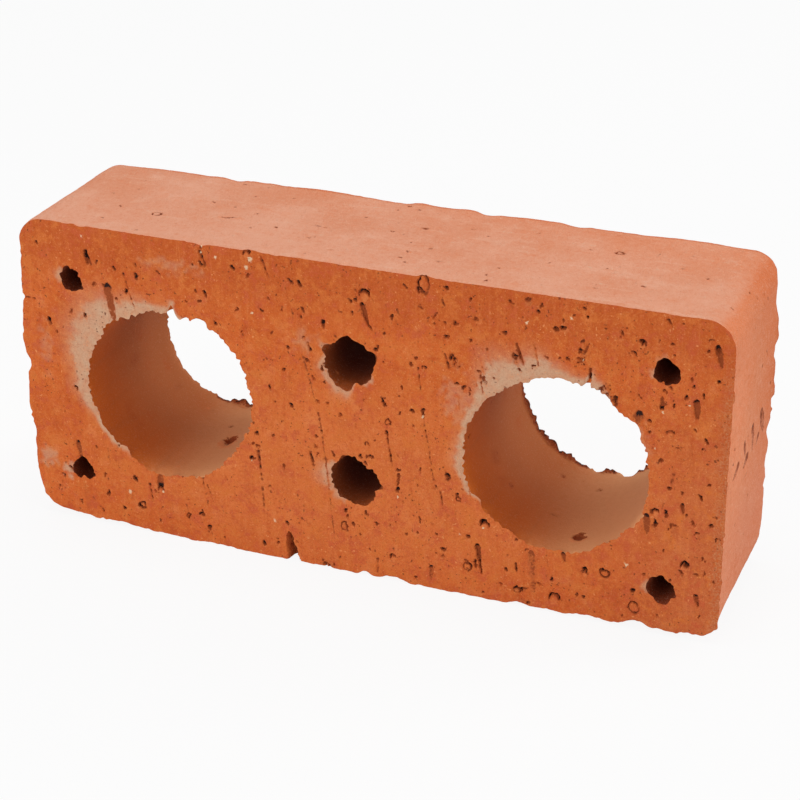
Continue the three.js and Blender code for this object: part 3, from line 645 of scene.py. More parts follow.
def cut_relief(sizes, holes, x, z, side):
    """The relief and stains of a cut face."""
    relief = Relief(x, z, 5.0 + side, DRAG_LEAN, sizes.raggedness)
    rng = np.random.default_rng(sizes.seed + (side > 0))
    if side == FRONT:
        relief.marks(SCORES, GROOVES, PITS, RINGS, GRAINS, FLECKS, CRUMBLED)
        relief.scatter(rng, pits=300, scores=60, grains=16, flecks=40)
    else:
        relief.marks(REAR_SCORES, REAR_GROOVES, REAR_PITS, REAR_RINGS, REAR_GRAINS, REAR_FLECKS)
        relief.scatter(rng, pits=230, scores=60, grains=50, flecks=30)
    lean = math.radians(DRAG_LEAN)
    across, along = x * math.cos(lean) + z * math.sin(lean), x * math.sin(lean) - z * math.cos(lean)
    lines = 0.05 * wander(across, side, along / 14, 1.0, 5) + 0.06 * wander(across, side, along / 30, 3.1, 6)
    hills = waves(x, side, z, (0.16, 24, 7), (0.07, 7, 8))
    grit = 0.03 * wander(x, side, z, 0.9, 9) + 0.05 * wander(x, side, z, 2.1, 10) ** 2
    relief.lift += sizes.raggedness * (lines + hills + grit)

    patchy, crumbs = wander(x, side, z, 3.6, 11), wander(x, side, z, 1.15, 12)
    for hole in holes:
        relief.worn_edge(hole, x, z, side, patchy, crumbs)
    if side == FRONT:
        for a, b, height, width, strength in BLOOM_SPOTS:
            away = np.hypot((x - a) / width, (z - b) / height) + 0.25 * patchy + 0.4 * crumbs
            relief.stain(relief.bloom, ALL, strength * ease(away, 0.6, 0.1))
        relief.split(z, crumbs)
    relief.bloom *= 1 - 0.8 * relief.bare
    return relief


def skin_relief(sizes, outline, s, y):
    """The relief and stains of the skin that slid along the die: streaks along Y, some pits and scrapes."""
    x, z = outline.place(s)
    relief = Relief(s, y, 21.0, 0.0, 0.7 * sizes.raggedness)
    right = LENGTH / 2 - 12
    top, end = outline.nearest(right, HEIGHT) + right, outline.nearest(LENGTH / 2, HEIGHT / 2) - HEIGHT / 2
    for a, b, length, width, lean in TOP_PITS:
        relief.pit(top - a, b, length, width, -lean, 0.35, 0.5)
    for a, b, length, width, lean in TOP_RINGS:
        relief.ring(top - a, b, length, width, lean)
    for y0, z0, y1, z1, width, share in END_GOUGES:
        relief.groove(end + z0, y0, end + z1, y1, width, GOUGE_DEPTH * share, GOUGE_BROWN)
    rng = np.random.default_rng(sizes.seed + 2)

    def places(count):
        return rng.uniform((0, 3 - HALF), (outline.length, HALF - 3), (count, 2))

    for a, b in places(150):
        size = rng.uniform(0.5, 1.1)
        relief.pit(a, b, size, size * rng.uniform(1, 1.8), 0, 0.3, rng.uniform(0.2, 0.75))
    for a, b in places(30):
        relief.speck(a, b, rng.uniform(0.4, 0.7))
    for a, b in places(40):
        reach = rng.uniform(2, 7)
        relief.score(a, b, a + rng.normal(0, 0.6), b - reach, rng.uniform(0.4, 0.8), 0.12, 0.25)
    sides = ease(np.abs(x), LENGTH / 2 - 10, LENGTH / 2 - 2)
    streaks = 0.05 * wander(x, y / 30, z, 2.4, 13) + 0.06 * wander(x, y / 18, z, 6.0, 14)
    bumps = waves(x, y, z, (0.2, 26, 15), (0.06, 6, 16), (0.02, 1.1, 17))
    relief.lift += sizes.raggedness * (streaks * (1 + 0.6 * sides) + bumps)
    relief.rim = np.maximum(fade(y + HALF, 1.6), fade(HALF - y, 1.6))
    return relief


def bore_relief(sizes, hole, angle, y):
    """The stains, painted light and painted shade of a hole's wall. Its shape comes from the hole itself."""
    relief = Relief(hole.radius * angle, y, 31.0 + hole.number, 0.0, sizes.raggedness)
    for which, turn, b, length, width, depth in BORE_PITS:
        if which == hole.number:
            relief.pit(math.radians(turn) * hole.radius, b, length, width, 0, depth, 0.6)
    for which, turn, b, length, width in BORE_SMUDGES:
        if which == hole.number:
            gone = np.hypot((relief.a - math.radians(turn) * hole.radius) / width, (relief.b - b) / length)
            relief.stain(relief.hollow, ALL, 0.16 * ease(gone, 0.6, 0.1))
    rng = np.random.default_rng(sizes.seed + 3 + hole.number)
    for a, b in rng.uniform((0, 3 - HALF), (TURN * hole.radius, HALF - 3), (hole.kind.pits, 2)):
        size = rng.uniform(0.5, 1.2)
        relief.pit(a, b, size, size * rng.uniform(1, 2), 0, 0.25, rng.uniform(0.2, 0.45))
    # Painted shade on the burrs at the rear mouth, whose sides towards the front lie in shade.
    burr = ease(round_mouth(np.degrees(angle) % 360, hole.burrs), 0.1, 0.6) * ease(HALF - y, 1.7, 1.0)
    relief.stain(relief.hollow, ALL, 0.72 * burr)

    def facing(degrees):
        return np.cos(angle - math.radians(degrees))

    if hole.kind == GRIP:
        # Dust and painted light make the lower right of the wall paler. Painted shade darkens its upper
        # left, and its foot near the front.
        relief.bloom = 0.9 * ease(facing(328), 0.0, 0.9)
        foot = ease(facing(243), 0.6, 0.95) * fade(y + HALF, 26)
        relief.soot = 0.3 * ease(facing(125), 0.0, 1.0) + 0.3 * foot
    else:
        mouth = BORE_SHADE_AT_MOUTH[hole.kind]
        relief.soot = mouth + (1 - mouth) * ease(np.abs(y), HALF - 2, HALF - 14)
    relief.rim = fade(y + HALF, 1.2)
    return relief


# ---- Points and triangles ----
def grid(low, high, step):
    """A staggered grid of points inside a rectangle."""
    across, up = np.arange(low[0] + step / 2, high[0], step), np.arange(low[1] + step / 2, high[1], step)
    a, b = np.meshgrid(across, up)
    a = a + np.where(np.arange(len(up))[:, None] % 2, step / 4, -step / 4)
    return a, b


def listed(a, b):
    """Points from their two coordinates."""
    return np.stack([a.ravel(), b.ravel()], 1)


def spots(low, high, coarse, fine, most, lift_at, rng):
    """Seeded points over a rectangle: a coarse grid, with a fine one where the surface bends most."""
    a, b = grid(low, high, fine)
    lift = np.pad(lift_at(a.ravel(), b.ravel()).reshape(a.shape), 1, mode="edge")
    bend = np.abs(4 * lift[1:-1, 1:-1] - lift[:-2, 1:-1] - lift[2:, 1:-1] - lift[1:-1, :-2] - lift[1:-1, 2:])
    padded = np.pad(bend, 1, mode="edge")
    rows, columns = a.shape
    spread = sum(padded[i : i + rows, j : j + columns] for i in range(3) for j in range(3))
    busy = spread >= np.partition(spread.ravel(), -most)[-most]
    dense = listed(a[busy], b[busy])
    a, b = grid(low, high, coarse)
    row = np.clip(((b - low[1]) / fine).astype(int), 0, rows - 1)
    column = np.clip(((a - low[0]) / fine).astype(int), 0, columns - 1)
    calm = ~busy[row, column]
    sparse = listed(a[calm], b[calm])
    dense = dense + rng.uniform(-0.2, 0.2, dense.shape) * fine
    sparse = sparse + rng.uniform(-0.2, 0.2, sparse.shape) * coarse
    return np.concatenate([dense, sparse])


def in_loop(points, loop):
    """Which points lie inside a closed loop."""
    (x, z), (x0, z0) = points.T[:, :, None], loop.T[:, None, :]
    x1, z1 = np.roll(loop, -1, 0).T[:, None, :]
    crosses = (z0 > z) != (z1 > z)
    level = np.where(crosses, z1 - z0, 1)
    return np.sum(crosses & (x < x0 + (z - z0) * (x1 - x0) / level), 1) % 2 == 1


def inside_rings(points, rings, normals, gap):
    """The points that keep a gap from every ring, inside the first and outside the others."""
    line, away = np.concatenate(rings), np.concatenate(normals)
    owner = np.repeat(np.arange(len(rings)), [len(ring) for ring in rings])
    tree = KDTree(len(line))
    for index, (a, b) in enumerate(line):
        tree.insert((a, b, 0), index)
    tree.balance()
    nearest = np.array([tree.find((a, b, 0))[1] for a, b in points])
    step = points - line[nearest]
    inside = np.sum(step * away[nearest], 1) < 0
    doubt = np.hypot(*step.T) < 4
    for number, ring in enumerate(rings):
        which = np.flatnonzero(doubt & (owner[nearest] == number))
        inside[which] = in_loop(points[which], ring) == (number == 0)
    return points[inside & (np.hypot(*step.T) > gap)]


def ring_at(period, step):
    """Evenly spaced places round a ring, from 0."""
    count = round(period / step)
    return np.arange(count) * period / count


STAINS = ("cut", "bore", "hollow", "crumb", "fleck", "bloom", "rim", "soot")
SHEET = 378.0  # millimetres of surface that one side of the texture sheet covers


def stains_of(relief, cut=0.0, bore=0.0):
    """The stains of a relief as columns, in the order of STAINS."""
    full = np.ones(len(relief.lift))
    return np.stack([cut * full, bore * full] + [getattr(relief, name) for name in STAINS[2:]], 1)


class Shell:
    """Patches of one closed surface. Those that meet share the vertices of the ring between them."""

    def __init__(self):
        self.places, self.triangles, self.sheet, self.stains = [], [], [], []
        self.count = 0

    def vertices(self, x, y, z):
        self.places.append(np.stack([x, y, z], 1))
        self.count += len(x)
        return np.arange(self.count - len(x), self.count)

    def patch(self, flat, ids, loops, stains, laid, facing_out):
        """Triangulates flat points inside the first loop and outside the others."""
        edges = [(int(a), int(b)) for loop in loops for a, b in zip(loop, np.roll(loop, -1))]
        found = delaunay_2d_cdt([Vector(p) for p in flat], edges, [], 1, 1e-7)
        if len(found[0]) != len(flat):
            raise RuntimeError("two edges of a patch of the brick cross each other")
        old = np.array([given[0] for given in found[3]])
        faces = old[np.array(found[2])]
        owner = np.zeros(len(flat), int)
        for number, loop in enumerate(loops[1:], 1):
            owner[loop] = number
        for number, loop in enumerate(loops[1:], 1):
            doubt = np.all(owner[faces] == number, axis=1)
            filled = np.zeros(len(faces), bool)
            filled[doubt] = in_loop(flat[faces[doubt]].mean(1), flat[loop])
            faces = faces[~filled]
        a, b, c = np.moveaxis(flat[faces], 1, 0)
        turn = (b[:, 0] - a[:, 0]) * (c[:, 1] - a[:, 1]) - (b[:, 1] - a[:, 1]) * (c[:, 0] - a[:, 0])
        faces = np.where((turn > 0)[:, None] == facing_out, faces, faces[:, ::-1])
        self.triangles.append(ids[faces])
        self.sheet.append(laid(flat[faces]))
        self.stains.append(stains[faces])

    def tube(self, period, edges, seam, inner, place, stains, laid, facing_out):
        """A wall between a front and a rear edge. A flat point is a place round the ring and a y. The seam
        is the list of y where the wall is cut open, and inner holds the flat points between."""
        front, rear = edges
        seam_ids = self.vertices(*place(np.zeros(len(seam)), seam))
        inner_ids = self.vertices(*place(*inner.T))

        def end(edge, y):
            return np.stack([np.append(edge.turn, period), np.full(len(edge.turn) + 1, y)], 1)

        def column(where):
            return np.stack([np.full(len(seam), where), seam], 1)

        parts = [end(front, -HALF), end(rear, HALF), column(0.0), column(period)]
        flat = np.concatenate([*parts, inner])
        rims = [front.ids, front.ids[:1], rear.ids, rear.ids[:1]]
        ids = np.concatenate([*rims, seam_ids, seam_ids, inner_ids])
        starts = np.cumsum([0] + [len(part) for part in parts])
        bottom, top, left, right = (np.arange(a, b) for a, b in zip(starts, starts[1:]))
        loop = np.concatenate([bottom, right, top[::-1], left[::-1]])
        self.patch(flat, ids, [loop], stains(*flat.T), laid, facing_out)

    def mesh(self, name):
        """The Blender mesh, in metres, with its stains and its texture sheet."""
        mesh = bpy.data.meshes.new(name)
        mesh.from_pydata(np.concatenate(self.places) * MM, [], np.concatenate(self.triangles))
        mesh.update()
        stains = np.concatenate(self.stains).reshape(-1, len(STAINS))
        for number, stain in enumerate(STAINS):
            values = np.clip(stains[:, number], 0, 1).astype(np.float32)
            mesh.attributes.new(stain, "FLOAT", "CORNER").data.foreach_set("value", values)
        sheet = mesh.uv_layers.new(name="OFBake")
        places = np.concatenate(self.sheet).reshape(-1, 2) / SHEET
        sheet.data.foreach_set("uv", places.astype(np.float32).ravel())
        return mesh


# ---- The brick ----
# Where each hole's wall lies on the texture sheet: its left edge and its middle line, in millimetres.
WALLS_LAID = ((0, 137), (0, 199), (184, 137), (184, 199), (346, 27), (346, 85), (346, 143), (346, 201))
SKIN_LAID = ((4, 277), (4, 339))  # the same for the two halves of the skin


def calm(y):
    """0 at the cut faces and 1 away from them, so that a wall meets the ring at its end."""
    return ease(y + HALF, 0, 1.5) * ease(HALF - y, 0, 1.5)


class Edge(NamedTuple):
    """A ring where a cut face meets the skin or a wall: places round it, its vertices and their lift."""

    turn: np.ndarray
    ids: np.ndarray
    lift: np.ndarray


class Brick(Shell):
    """The whole brick: two cut faces, the skin round them, and a wall through each hole."""

    def __init__(self, sizes):
        super().__init__()
        self.sizes, self.outline = sizes, Outline(sizes)
        self.holes = [Hole(sizes, number, *given) for number, given in enumerate(HOLES)]
        self.rng = np.random.default_rng(sizes.seed + 40)
        self.edges = {}  # for each side, the outline's edge and then each hole's
        self.cut_face(FRONT, sizes.coarse_step, sizes.fine_step, sizes.fine_points, 1.0)
        self.cut_face(REAR, 1.6 * sizes.coarse_step, 1.7 * sizes.fine_step, sizes.fine_points // 3, 1.8)
        self.skin()
        for hole in self.holes:
            self.wall(hole)

    def cut_face(self, side, coarse, fine, most, ring_scale):
        """One cut face, with its edges at the skin and at the holes."""
        s = ring_at(self.outline.length, 0.55 * ring_scale)
        (x, z), (nx, nz), wear = self.outline.place(s), self.outline.normal(s), self.outline.wear(s, side)
        turns, normals = [s], [np.stack([nx, nz], 1)]
        rings = [np.stack([x - nx * wear, np.maximum(z - nz * wear, 0)], 1)]
        for hole in self.holes:
            angle = ring_at(TURN, hole.kind.ring_step * ring_scale / hole.radius)
            turns.append(angle)
            rings.append(np.stack(hole.around(hole.rim(angle, side), angle), 1))
            normals.append(-np.stack(circle(1, angle), 1))

        def relief_at(x, z):
            return cut_relief(self.sizes, self.holes, x, z, side)

        loose = spots((-LENGTH / 2, 0), (LENGTH / 2, HEIGHT), coarse, fine, most,
                      lambda x, z: relief_at(x, z).lift, self.rng)
        loose = inside_rings(loose, rings, normals, 0.35 * ring_scale)
        flat = np.concatenate([*rings, loose])
        relief = relief_at(*flat.T)
        ids = self.vertices(flat[:, 0], side * (HALF + relief.lift), flat[:, 1])
        starts = np.cumsum([0] + [len(ring) for ring in rings])
        loops = [np.arange(a, b) for a, b in zip(starts, starts[1:])]

        def laid(flat):
            if side == FRONT:
                return flat + np.array((LENGTH / 2, 0))
            return np.flip(flat, -1) + np.array((LENGTH + 6, LENGTH / 2))

        self.patch(flat, ids, loops, stains_of(relief, cut=1.0), laid, side == FRONT)
        self.edges[side] = [Edge(turn, ids[loop], relief.lift[loop]) for turn, loop in zip(turns, loops)]

    def slide(self, turn, y, which, period):
        """How far a wall's points move along Y with the lift of the edges at its ends."""
        total = np.zeros(len(y))
        for side in (FRONT, REAR):
            edge = self.edges[side][which]
            here = np.interp(turn, np.append(edge.turn, period), np.append(edge.lift, edge.lift[0]))
            total += side * here * np.clip(1 - (HALF - side * y) / 13, 0, 1)
        return total

    def skin(self):
        """The skin from face to face, cut open along the middle of the underside."""
        sizes, outline = self.sizes, self.outline

        def relief_at(s, y):
            return skin_relief(sizes, outline, s, y)

        def place(s, y):
            (x, z), (nx, nz) = outline.place(s), outline.normal(s)
            worn = outline.wear(s, FRONT) * fade(y + HALF, 4.5) + outline.wear(s, REAR) * fade(HALF - y, 4.5)
            out = relief_at(s, y).lift * calm(y) - worn
            return x + nx * out, y + self.slide(s, y, 0, outline.length), np.maximum(z + nz * out, 0)

        def stains(s, y):
            return stains_of(relief_at(s, y))

        def detail(s, y):
            relief = relief_at(s, y)
            busy = 0.9 * fade(y + HALF, 2.6) + relief.hollow
            return relief.lift + busy * wander(s, y, 0, 0.9, 1)

        def laid(flat):
            middle = outline.length / 2
            first, second = np.array(SKIN_LAID) - ((0, 0), (middle, 0))
            beyond = flat[..., 0].mean(-1, keepdims=True)[..., None] > middle
            return flat + np.where(beyond, second, first)

        seam = np.arange(-HALF + 1.5, HALF - 1, 1.5)
        inner = spots((0.5, -HALF + 0.45), (outline.length - 0.5, HALF - 0.6), 2.2 * sizes.coarse_step,
                      1.35 * sizes.fine_step, sizes.fine_points // 3, detail, self.rng)
        edges = [self.edges[side][0] for side in (FRONT, REAR)]
        self.tube(outline.length, edges, seam, inner, place, stains, laid, False)

    def wall(self, hole):
        """A hole's wall from face to face, cut open on its right. The place round it is in millimetres."""

        def relief_at(round_it, y):
            return bore_relief(self.sizes, hole, round_it / hole.radius, y)

        def place(round_it, y):
            angle = round_it / hole.radius
            radius = hole.radius_at(angle, y) - relief_at(round_it, y).lift * calm(y)
            x, z = hole.around(radius, angle)
            return x, y + self.slide(angle, y, hole.number + 1, TURN), z

        def stains(round_it, y):
            return stains_of(relief_at(round_it, y), bore=1.0)

        def laid(flat):
            return flat + np.array(WALLS_LAID[hole.number])

        edges = [self.edges[side][hole.number + 1] for side in (FRONT, REAR)]
        edges = [edge._replace(turn=edge.turn * hole.radius) for edge in edges]
        seam = np.arange(-HALF + 1, HALF - 0.8, 1.1)
        self.tube(TURN * hole.radius, edges, seam, self.wall_points(hole), place, stains, laid, True)

    def wall_points(self, hole):
        """Seeded points of a wall: a coarse grid, a finer one next to its mouths, a fine one in its pits."""
        period, step = TURN * hole.radius, hole.kind.wall_step * self.sizes.coarse_step
        grids = [grid((0.6, -HALF + 3), (period - 0.6, HALF - 2.4), step),
                 grid((0.5, -HALF + 0.5), (period - 0.5, -HALF + 3), 0.62 * step),
                 grid((0.5, HALF - 2.4), (period - 0.5, HALF - 0.5), 0.62 * step)]
        loose = np.concatenate([listed(*each) for each in grids])
        loose = loose + self.rng.uniform(-0.15, 0.15, loose.shape) * step
        for which, turn, y, length, width, _ in BORE_PITS:
            if which == hole.number:
                middle = np.array((math.radians(turn) * hole.radius, y))
                reach = 0.5 + 0.7 * np.array((width, length))
                inside = np.all(np.abs(loose - middle) < reach, axis=1)
                fine = grid(middle - reach, middle + reach, self.sizes.fine_step)
                loose = np.concatenate([loose[~inside], listed(*fine)])
        return loose[(loose[:, 0] > 0.3) & (loose[:, 0] < period - 0.3) & (np.abs(loose[:, 1]) < HALF - 0.3)]


# ---- Shader maths ----
class Wire:
    """A socket of a shader tree. Arithmetic on it adds the Math node that works it out."""

    def __init__(self, sheet, socket):
        self.sheet, self.socket = sheet, socket

    def maths(self, operation, *values, clamp=False):
        settings = {"operation": operation, "use_clamp": clamp}
        return self.sheet.node("ShaderNodeMath", settings, dict(enumerate(values)))

    def __add__(self, other):
        return self.maths("ADD", self, other)

    def __sub__(self, other):
        return self.maths("SUBTRACT", self, other)

    def __rsub__(self, other):
        return self.maths("SUBTRACT", other, self)

    def __mul__(self, other):
        return self.maths("MULTIPLY", self, other)

    def __truediv__(self, other):
        return self.maths("DIVIDE", self, other)

    __radd__, __rmul__ = __add__, __mul__

    def clamped(self):
        return self.maths("ADD", self, 0.0, clamp=True)

    def rise(self, low, high):
        """0 at low and 1 at high, with a smooth step between them."""
        settings = {"interpolation_type": "SMOOTHSTEP", "clamp": True}
        values = {"Value": self, "From Min": low, "From Max": high}
        return self.sheet.node("ShaderNodeMapRange", settings, values)


class Sheet:
    """One shader tree, to which nodes are added."""

    def __init__(self, owner):
        owner.use_nodes = True
        self.tree = owner.node_tree
        self.tree.nodes.clear()

    def node(self, kind, settings=None, values=None, output=0):
        """Adds a node, makes its settings and then sets or links its sockets. Returns one output."""
        made = self.tree.nodes.new(kind)
        for name, setting in (settings or {}).items():
            setattr(made, name, setting)
        for name, value in (values or {}).items():
            if isinstance(value, Wire):
                self.tree.links.new(value.socket, made.inputs[name])
            else:
                made.inputs[name].default_value = value
        return Wire(self, made.outputs[output]) if len(made.outputs) else made

    def outputs(self, kind, names, values=None):
        """Several outputs of one added node."""
        made = self.node(kind, None, values).socket.node
        return [Wire(self, made.outputs[name]) for name in names]

    def mix(self, factor, low, high):
        """Two colours mixed. Each is a wire or a colour of three numbers."""
        whole = [value if isinstance(value, Wire) else (*value, 1.0) for value in (low, high)]
        return self.node("ShaderNodeMix", {"data_type": "RGBA"}, {0: factor, 6: whole[0], 7: whole[1]}, 2)

    def coats(self, colour, *coats):
        """A colour under coats. Each is how much it covers and its own colour."""
        for cover, coat in coats:
            colour = self.mix(cover, colour, coat)
        return colour

    def mask(self, name):
        return self.node("ShaderNodeAttribute", {"attribute_name": name}, output="Fac")

    def stretch(self, place, scale, turn=(0.0, 0.0, 0.0)):
        return self.node("ShaderNodeMapping", None, {"Vector": place, "Scale": scale, "Rotation": turn})

    def noise(self, place, step, detail=3.0, rough=0.5):
        """Noise from 0 to 1, whose humps are step millimetres apart."""
        return self.node("ShaderNodeTexNoise", None,
                         {"Vector": place, "Scale": 1 / (step * MM), "Detail": detail, "Roughness": rough})


# ---- The clay ----
class Clay(Sheet):
    """The one clay of the brick: torn orange cut faces, salmon skin with a painted sheen on top, brown bores
    with painted light and shade, pale bloom, dark pits of painted shade.
    """

    def __init__(self, finish):
        self.material = bpy.data.materials.new("fired_clay")
        super().__init__(self.material)
        self.finish = finish
        self.cut, self.bore, self.hollow, self.crumb = (self.mask(name) for name in STAINS[:4])
        self.fleck, self.bloom, self.rim, self.soot = (self.mask(name) for name in STAINS[4:])

        place = self.node("ShaderNodeTexCoord", output="Object")
        x, y, z = self.outputs("ShaderNodeSeparateXYZ", "XYZ", {0: place})
        self.right = x / (LENGTH * MM / 2)  # -1 at the left end and 1 at the right one
        self.back = y / (THICKNESS * MM)  # -0.5 at the front and 0.5 at the rear
        self.up = z / (HEIGHT * MM)  # 0 at the foot and 1 at the top
        self.top = self.up.rise(0.975, 1.0)

        self.broad, self.clouds = self.noise(place, 26.0, 2.0), self.noise(place, 13.0, 3.0, 0.6)
        self.patches, self.tone = self.noise(place, 7.0, 4.0, 0.6), self.noise(place, 5.0, 5.0, 0.75)
        self.speckle, self.dots = self.noise(place, 1.5, 3.0, 0.6), self.noise(place, 0.95, 1.0)
        self.grit, self.fine = self.noise(place, 0.6, 2.0, 0.6), self.noise(place, 0.32, 2.0, 0.7)
        wire = self.stretch(place, (1.0, 1.0, 0.06), (0, math.radians(-DRAG_LEAN), 0))
        self.drag = self.noise(wire, 1.6, 3.0)
        self.along = self.noise(self.stretch(place, (1.0, 0.07, 1.0)), 2.4, 3.0)
        self.lengthwise = self.noise(self.stretch(place, (0.12, 1.0, 1.0)), 3.4, 4.0, 0.6)
        self.upright = self.noise(self.stretch(place, (1.0, 1.0, 0.1)), 3.0, 4.0, 0.6)
        self.shade()

    def face(self):
        """The cut faces: orange, browner under the upper edge, redder towards the lower right corner."""
        finish, right, up = self.finish, self.right, self.up
        middle = right * right + (up - 0.3) * (up - 0.3) * 6.0
        return self.coats(
            self.mix(self.broad.rise(0.3, 0.75), finish.face_deep, finish.face),
            (self.patches.rise(0.51, 0.72) * 0.75, finish.face_pale),
            (self.patches.rise(0.47, 0.28) * 0.8, finish.face_red),
            (middle.rise(1.0, 0.0) * 0.42, finish.face_pale),
            ((right * 0.5 + 0.5).rise(0.35, 1.0) * up.rise(1.0, 0.1) * 0.25, finish.face_red),
            ((up + 0.12 * (self.clouds - 0.5)).rise(0.76, 0.93) * 0.75, finish.face_brown),
            (right.rise(0.62, 1.0) * up.rise(0.95, 0.4) * 0.22, finish.ash),
            (self.drag.rise(0.5, 0.75) * 0.3, finish.face_pale),
            (self.drag.rise(0.46, 0.24) * 0.3, finish.face_red),
            (self.speckle.rise(0.52, 0.75) * 0.5, finish.face_pale),
            (self.speckle.rise(0.48, 0.28) * 0.5, finish.face_red),
            (self.tone.rise(0.5, 0.66) * 0.85, finish.face_ochre),
            (self.tone.rise(0.49, 0.34) * 0.8, finish.face_rose),
        )

    def sides(self):
        """The skin: salmon, with streaks and worn patches, and pinker low down."""
        finish, up = self.finish, self.up
        front = self.back.rise(0.1, -0.45)
        return self.coats(
            self.mix(self.broad.rise(0.3, 0.7), finish.skin, finish.skin_pale),
            (self.back.rise(-0.1, 0.5) * 0.7, finish.skin_deep),
            (up.rise(0.6, 0.2) * 0.6, finish.skin_pink),
            (front * (0.25 + 0.35 * up.rise(0.2, 0.6)), finish.skin_warm),
            (self.along.rise(0.5, 0.8) * 0.35, finish.skin_pale),
            (self.patches.rise(0.48, 0.22) * 0.3, finish.skin_deep),
            (self.upright.rise(0.58, 0.78) * 0.4, finish.skin_pale),
            (self.tone.rise(0.5, 0.7) * 0.35, finish.skin_pale),
            (self.tone.rise(0.49, 0.3) * 0.4, finish.skin_deep),
            (self.speckle.rise(0.5, 0.74) * 0.3, finish.dust_white),
            (self.speckle.rise(0.48, 0.26) * 0.4, finish.skin_deep),
            (up.rise(0.7, 0.97) * 0.4, finish.skin_deep),
        )

    def top_dust_and_sheen(self):
        """The upper skin, paler than the sides with dust and a painted sheen: dust in streaks along the
        brick, paler towards the front, with a few flakes.
        """
        finish = self.finish
        uneven = self.back + 0.25 * self.right + 0.3 * (self.clouds - 0.5)
        flakes = self.speckle.rise(0.6, 0.7) * self.lengthwise.rise(0.5, 0.6) * self.clouds.rise(0.45, 0.55)
        return self.coats(
            self.mix(self.broad.rise(0.3, 0.7), finish.dust_and_sheen, finish.pale_dust_and_sheen),
            (uneven.rise(0.0, -0.65) * 0.9, finish.pale_dust_and_sheen),
            (self.patches.rise(0.46, 0.24) * 0.35, finish.skin),
            (self.clouds.rise(0.54, 0.72) * 0.4, finish.dust_white),
            (self.lengthwise.rise(0.56, 0.78) * 0.5, finish.dust_white),
            ((self.back + 0.3 * self.right).rise(0.05, 0.75) * 0.4, finish.skin),
            (self.tone.rise(0.5, 0.7) * 0.3, finish.dust_white),
            (flakes * 0.7, finish.bloom),
            (self.tone.rise(0.49, 0.3) * 0.3, finish.skin),
            (self.speckle.rise(0.5, 0.74) * 0.22, finish.dust_white),
            (self.speckle.rise(0.48, 0.26) * 0.25, finish.skin_deep),
        )

    def wall(self):
        """The bores: browner skin, lighter near the front mouths with painted light, pinker towards the
        rear, and black with painted shade where narrow, darker with it on the grips' upper left.
        """
        finish = self.finish
        return self.coats(
            # Painted light: the lighter bore colour lies near the front mouth, where light falls in; the
            # rear one lies further in.
            self.mix(self.back.rise(-0.52, 0.1), finish.bore, finish.bore_rear),
            (self.along.rise(0.5, 0.8) * 0.25, finish.bore_rear),
            (self.clouds.rise(0.46, 0.25) * 0.4, finish.bore_deep),
            (self.speckle.rise(0.48, 0.26) * 0.15, finish.bore_deep),
            (self.soot, finish.soot),
        )

    def bloomed(self, colour):
        """Pale bloom and dust in grains, with painted light in the grips' walls, greyish grains at the right
        edge, pale worn rims and crumbs, with a painted highlight on the lips of pits.
        """
        finish, grit, speckle = self.finish, self.grit, self.speckle
        dusty = (self.bloom + 0.3 * (speckle - 0.5) * self.bloom.rise(0.0, 0.3)).clamped()
        pale = self.mix(grit.rise(0.2, 0.8), finish.bloom_deep, finish.bloom)
        edge = (self.right + 0.05 * (self.patches - 0.5) + 0.05 * (speckle - 0.5)).rise(0.962, 0.99)
        return self.coats(
            colour,
            (dusty, self.mix(self.bore * 0.8, pale, finish.bore_dust_and_light)),
            (edge * self.up.rise(0.97, 0.75) * self.cut * 0.5,
             self.mix(grit.rise(0.35, 0.65), finish.face_brown, finish.ash)),
            (self.rim * speckle.rise(0.5, 0.68) * (1 - self.bore) * 0.45, finish.face_pale),
            (self.crumb.rise(0.2, 0.8) * 0.5, finish.face_pale),
        )

    def grained(self, colour):
        """The finest grains, pale and deep."""
        finish = self.finish
        pale = self.mix(self.cut, finish.dust_white, finish.face_grain)
        deep = self.mix(self.cut, finish.skin_deep, finish.face_red)
        sides = (1.0 - self.cut) * (1.0 - self.bore) * (1.0 - self.top)
        share = (0.3 + 0.08 * sides) * (1.0 - 0.5 * self.bore) * (1.0 - 0.5 * self.bloom)
        return self.coats(
            colour,
            (self.grit.rise(0.54, 0.74) * share, pale),
            (self.grit.rise(0.46, 0.26) * share, deep),
            (self.fine.rise(0.52, 0.75) * share, pale),
            (self.fine.rise(0.48, 0.25) * share, deep),
        )

    def hollowed(self, colour, pinpricks):
        """Pits and scores painted with shade, brown at their edges and black at the bottom, pinpricks, the
        dark ones painted with shade, and flecks of lime.
        """
        finish = self.finish
        ragged = self.hollow + 0.8 * (0.5 - self.grit) + 0.4 * (0.5 - self.speckle)
        pale_pricks = self.dots.rise(0.7, 0.76) * self.clouds.rise(0.6, 0.45) * self.cut
        lime = (self.fleck + 0.7 * (self.grit - 0.5)).rise(0.3, 0.8) * self.fleck.rise(0.0, 0.2)
        return self.coats(
            colour,
            (pale_pricks * 0.7, finish.face_grain),
            (self.hollow.rise(0.02, 0.3) * 0.35, finish.hollow_brown),
            ((ragged.rise(0.22, 0.42) + 0.7 * pinpricks).clamped() * 0.9, finish.hollow_brown),
            ((ragged.rise(0.6, 0.86) + 0.35 * pinpricks * self.cut).clamped(), finish.hollow),
            (lime * 0.85, finish.lime),
        )

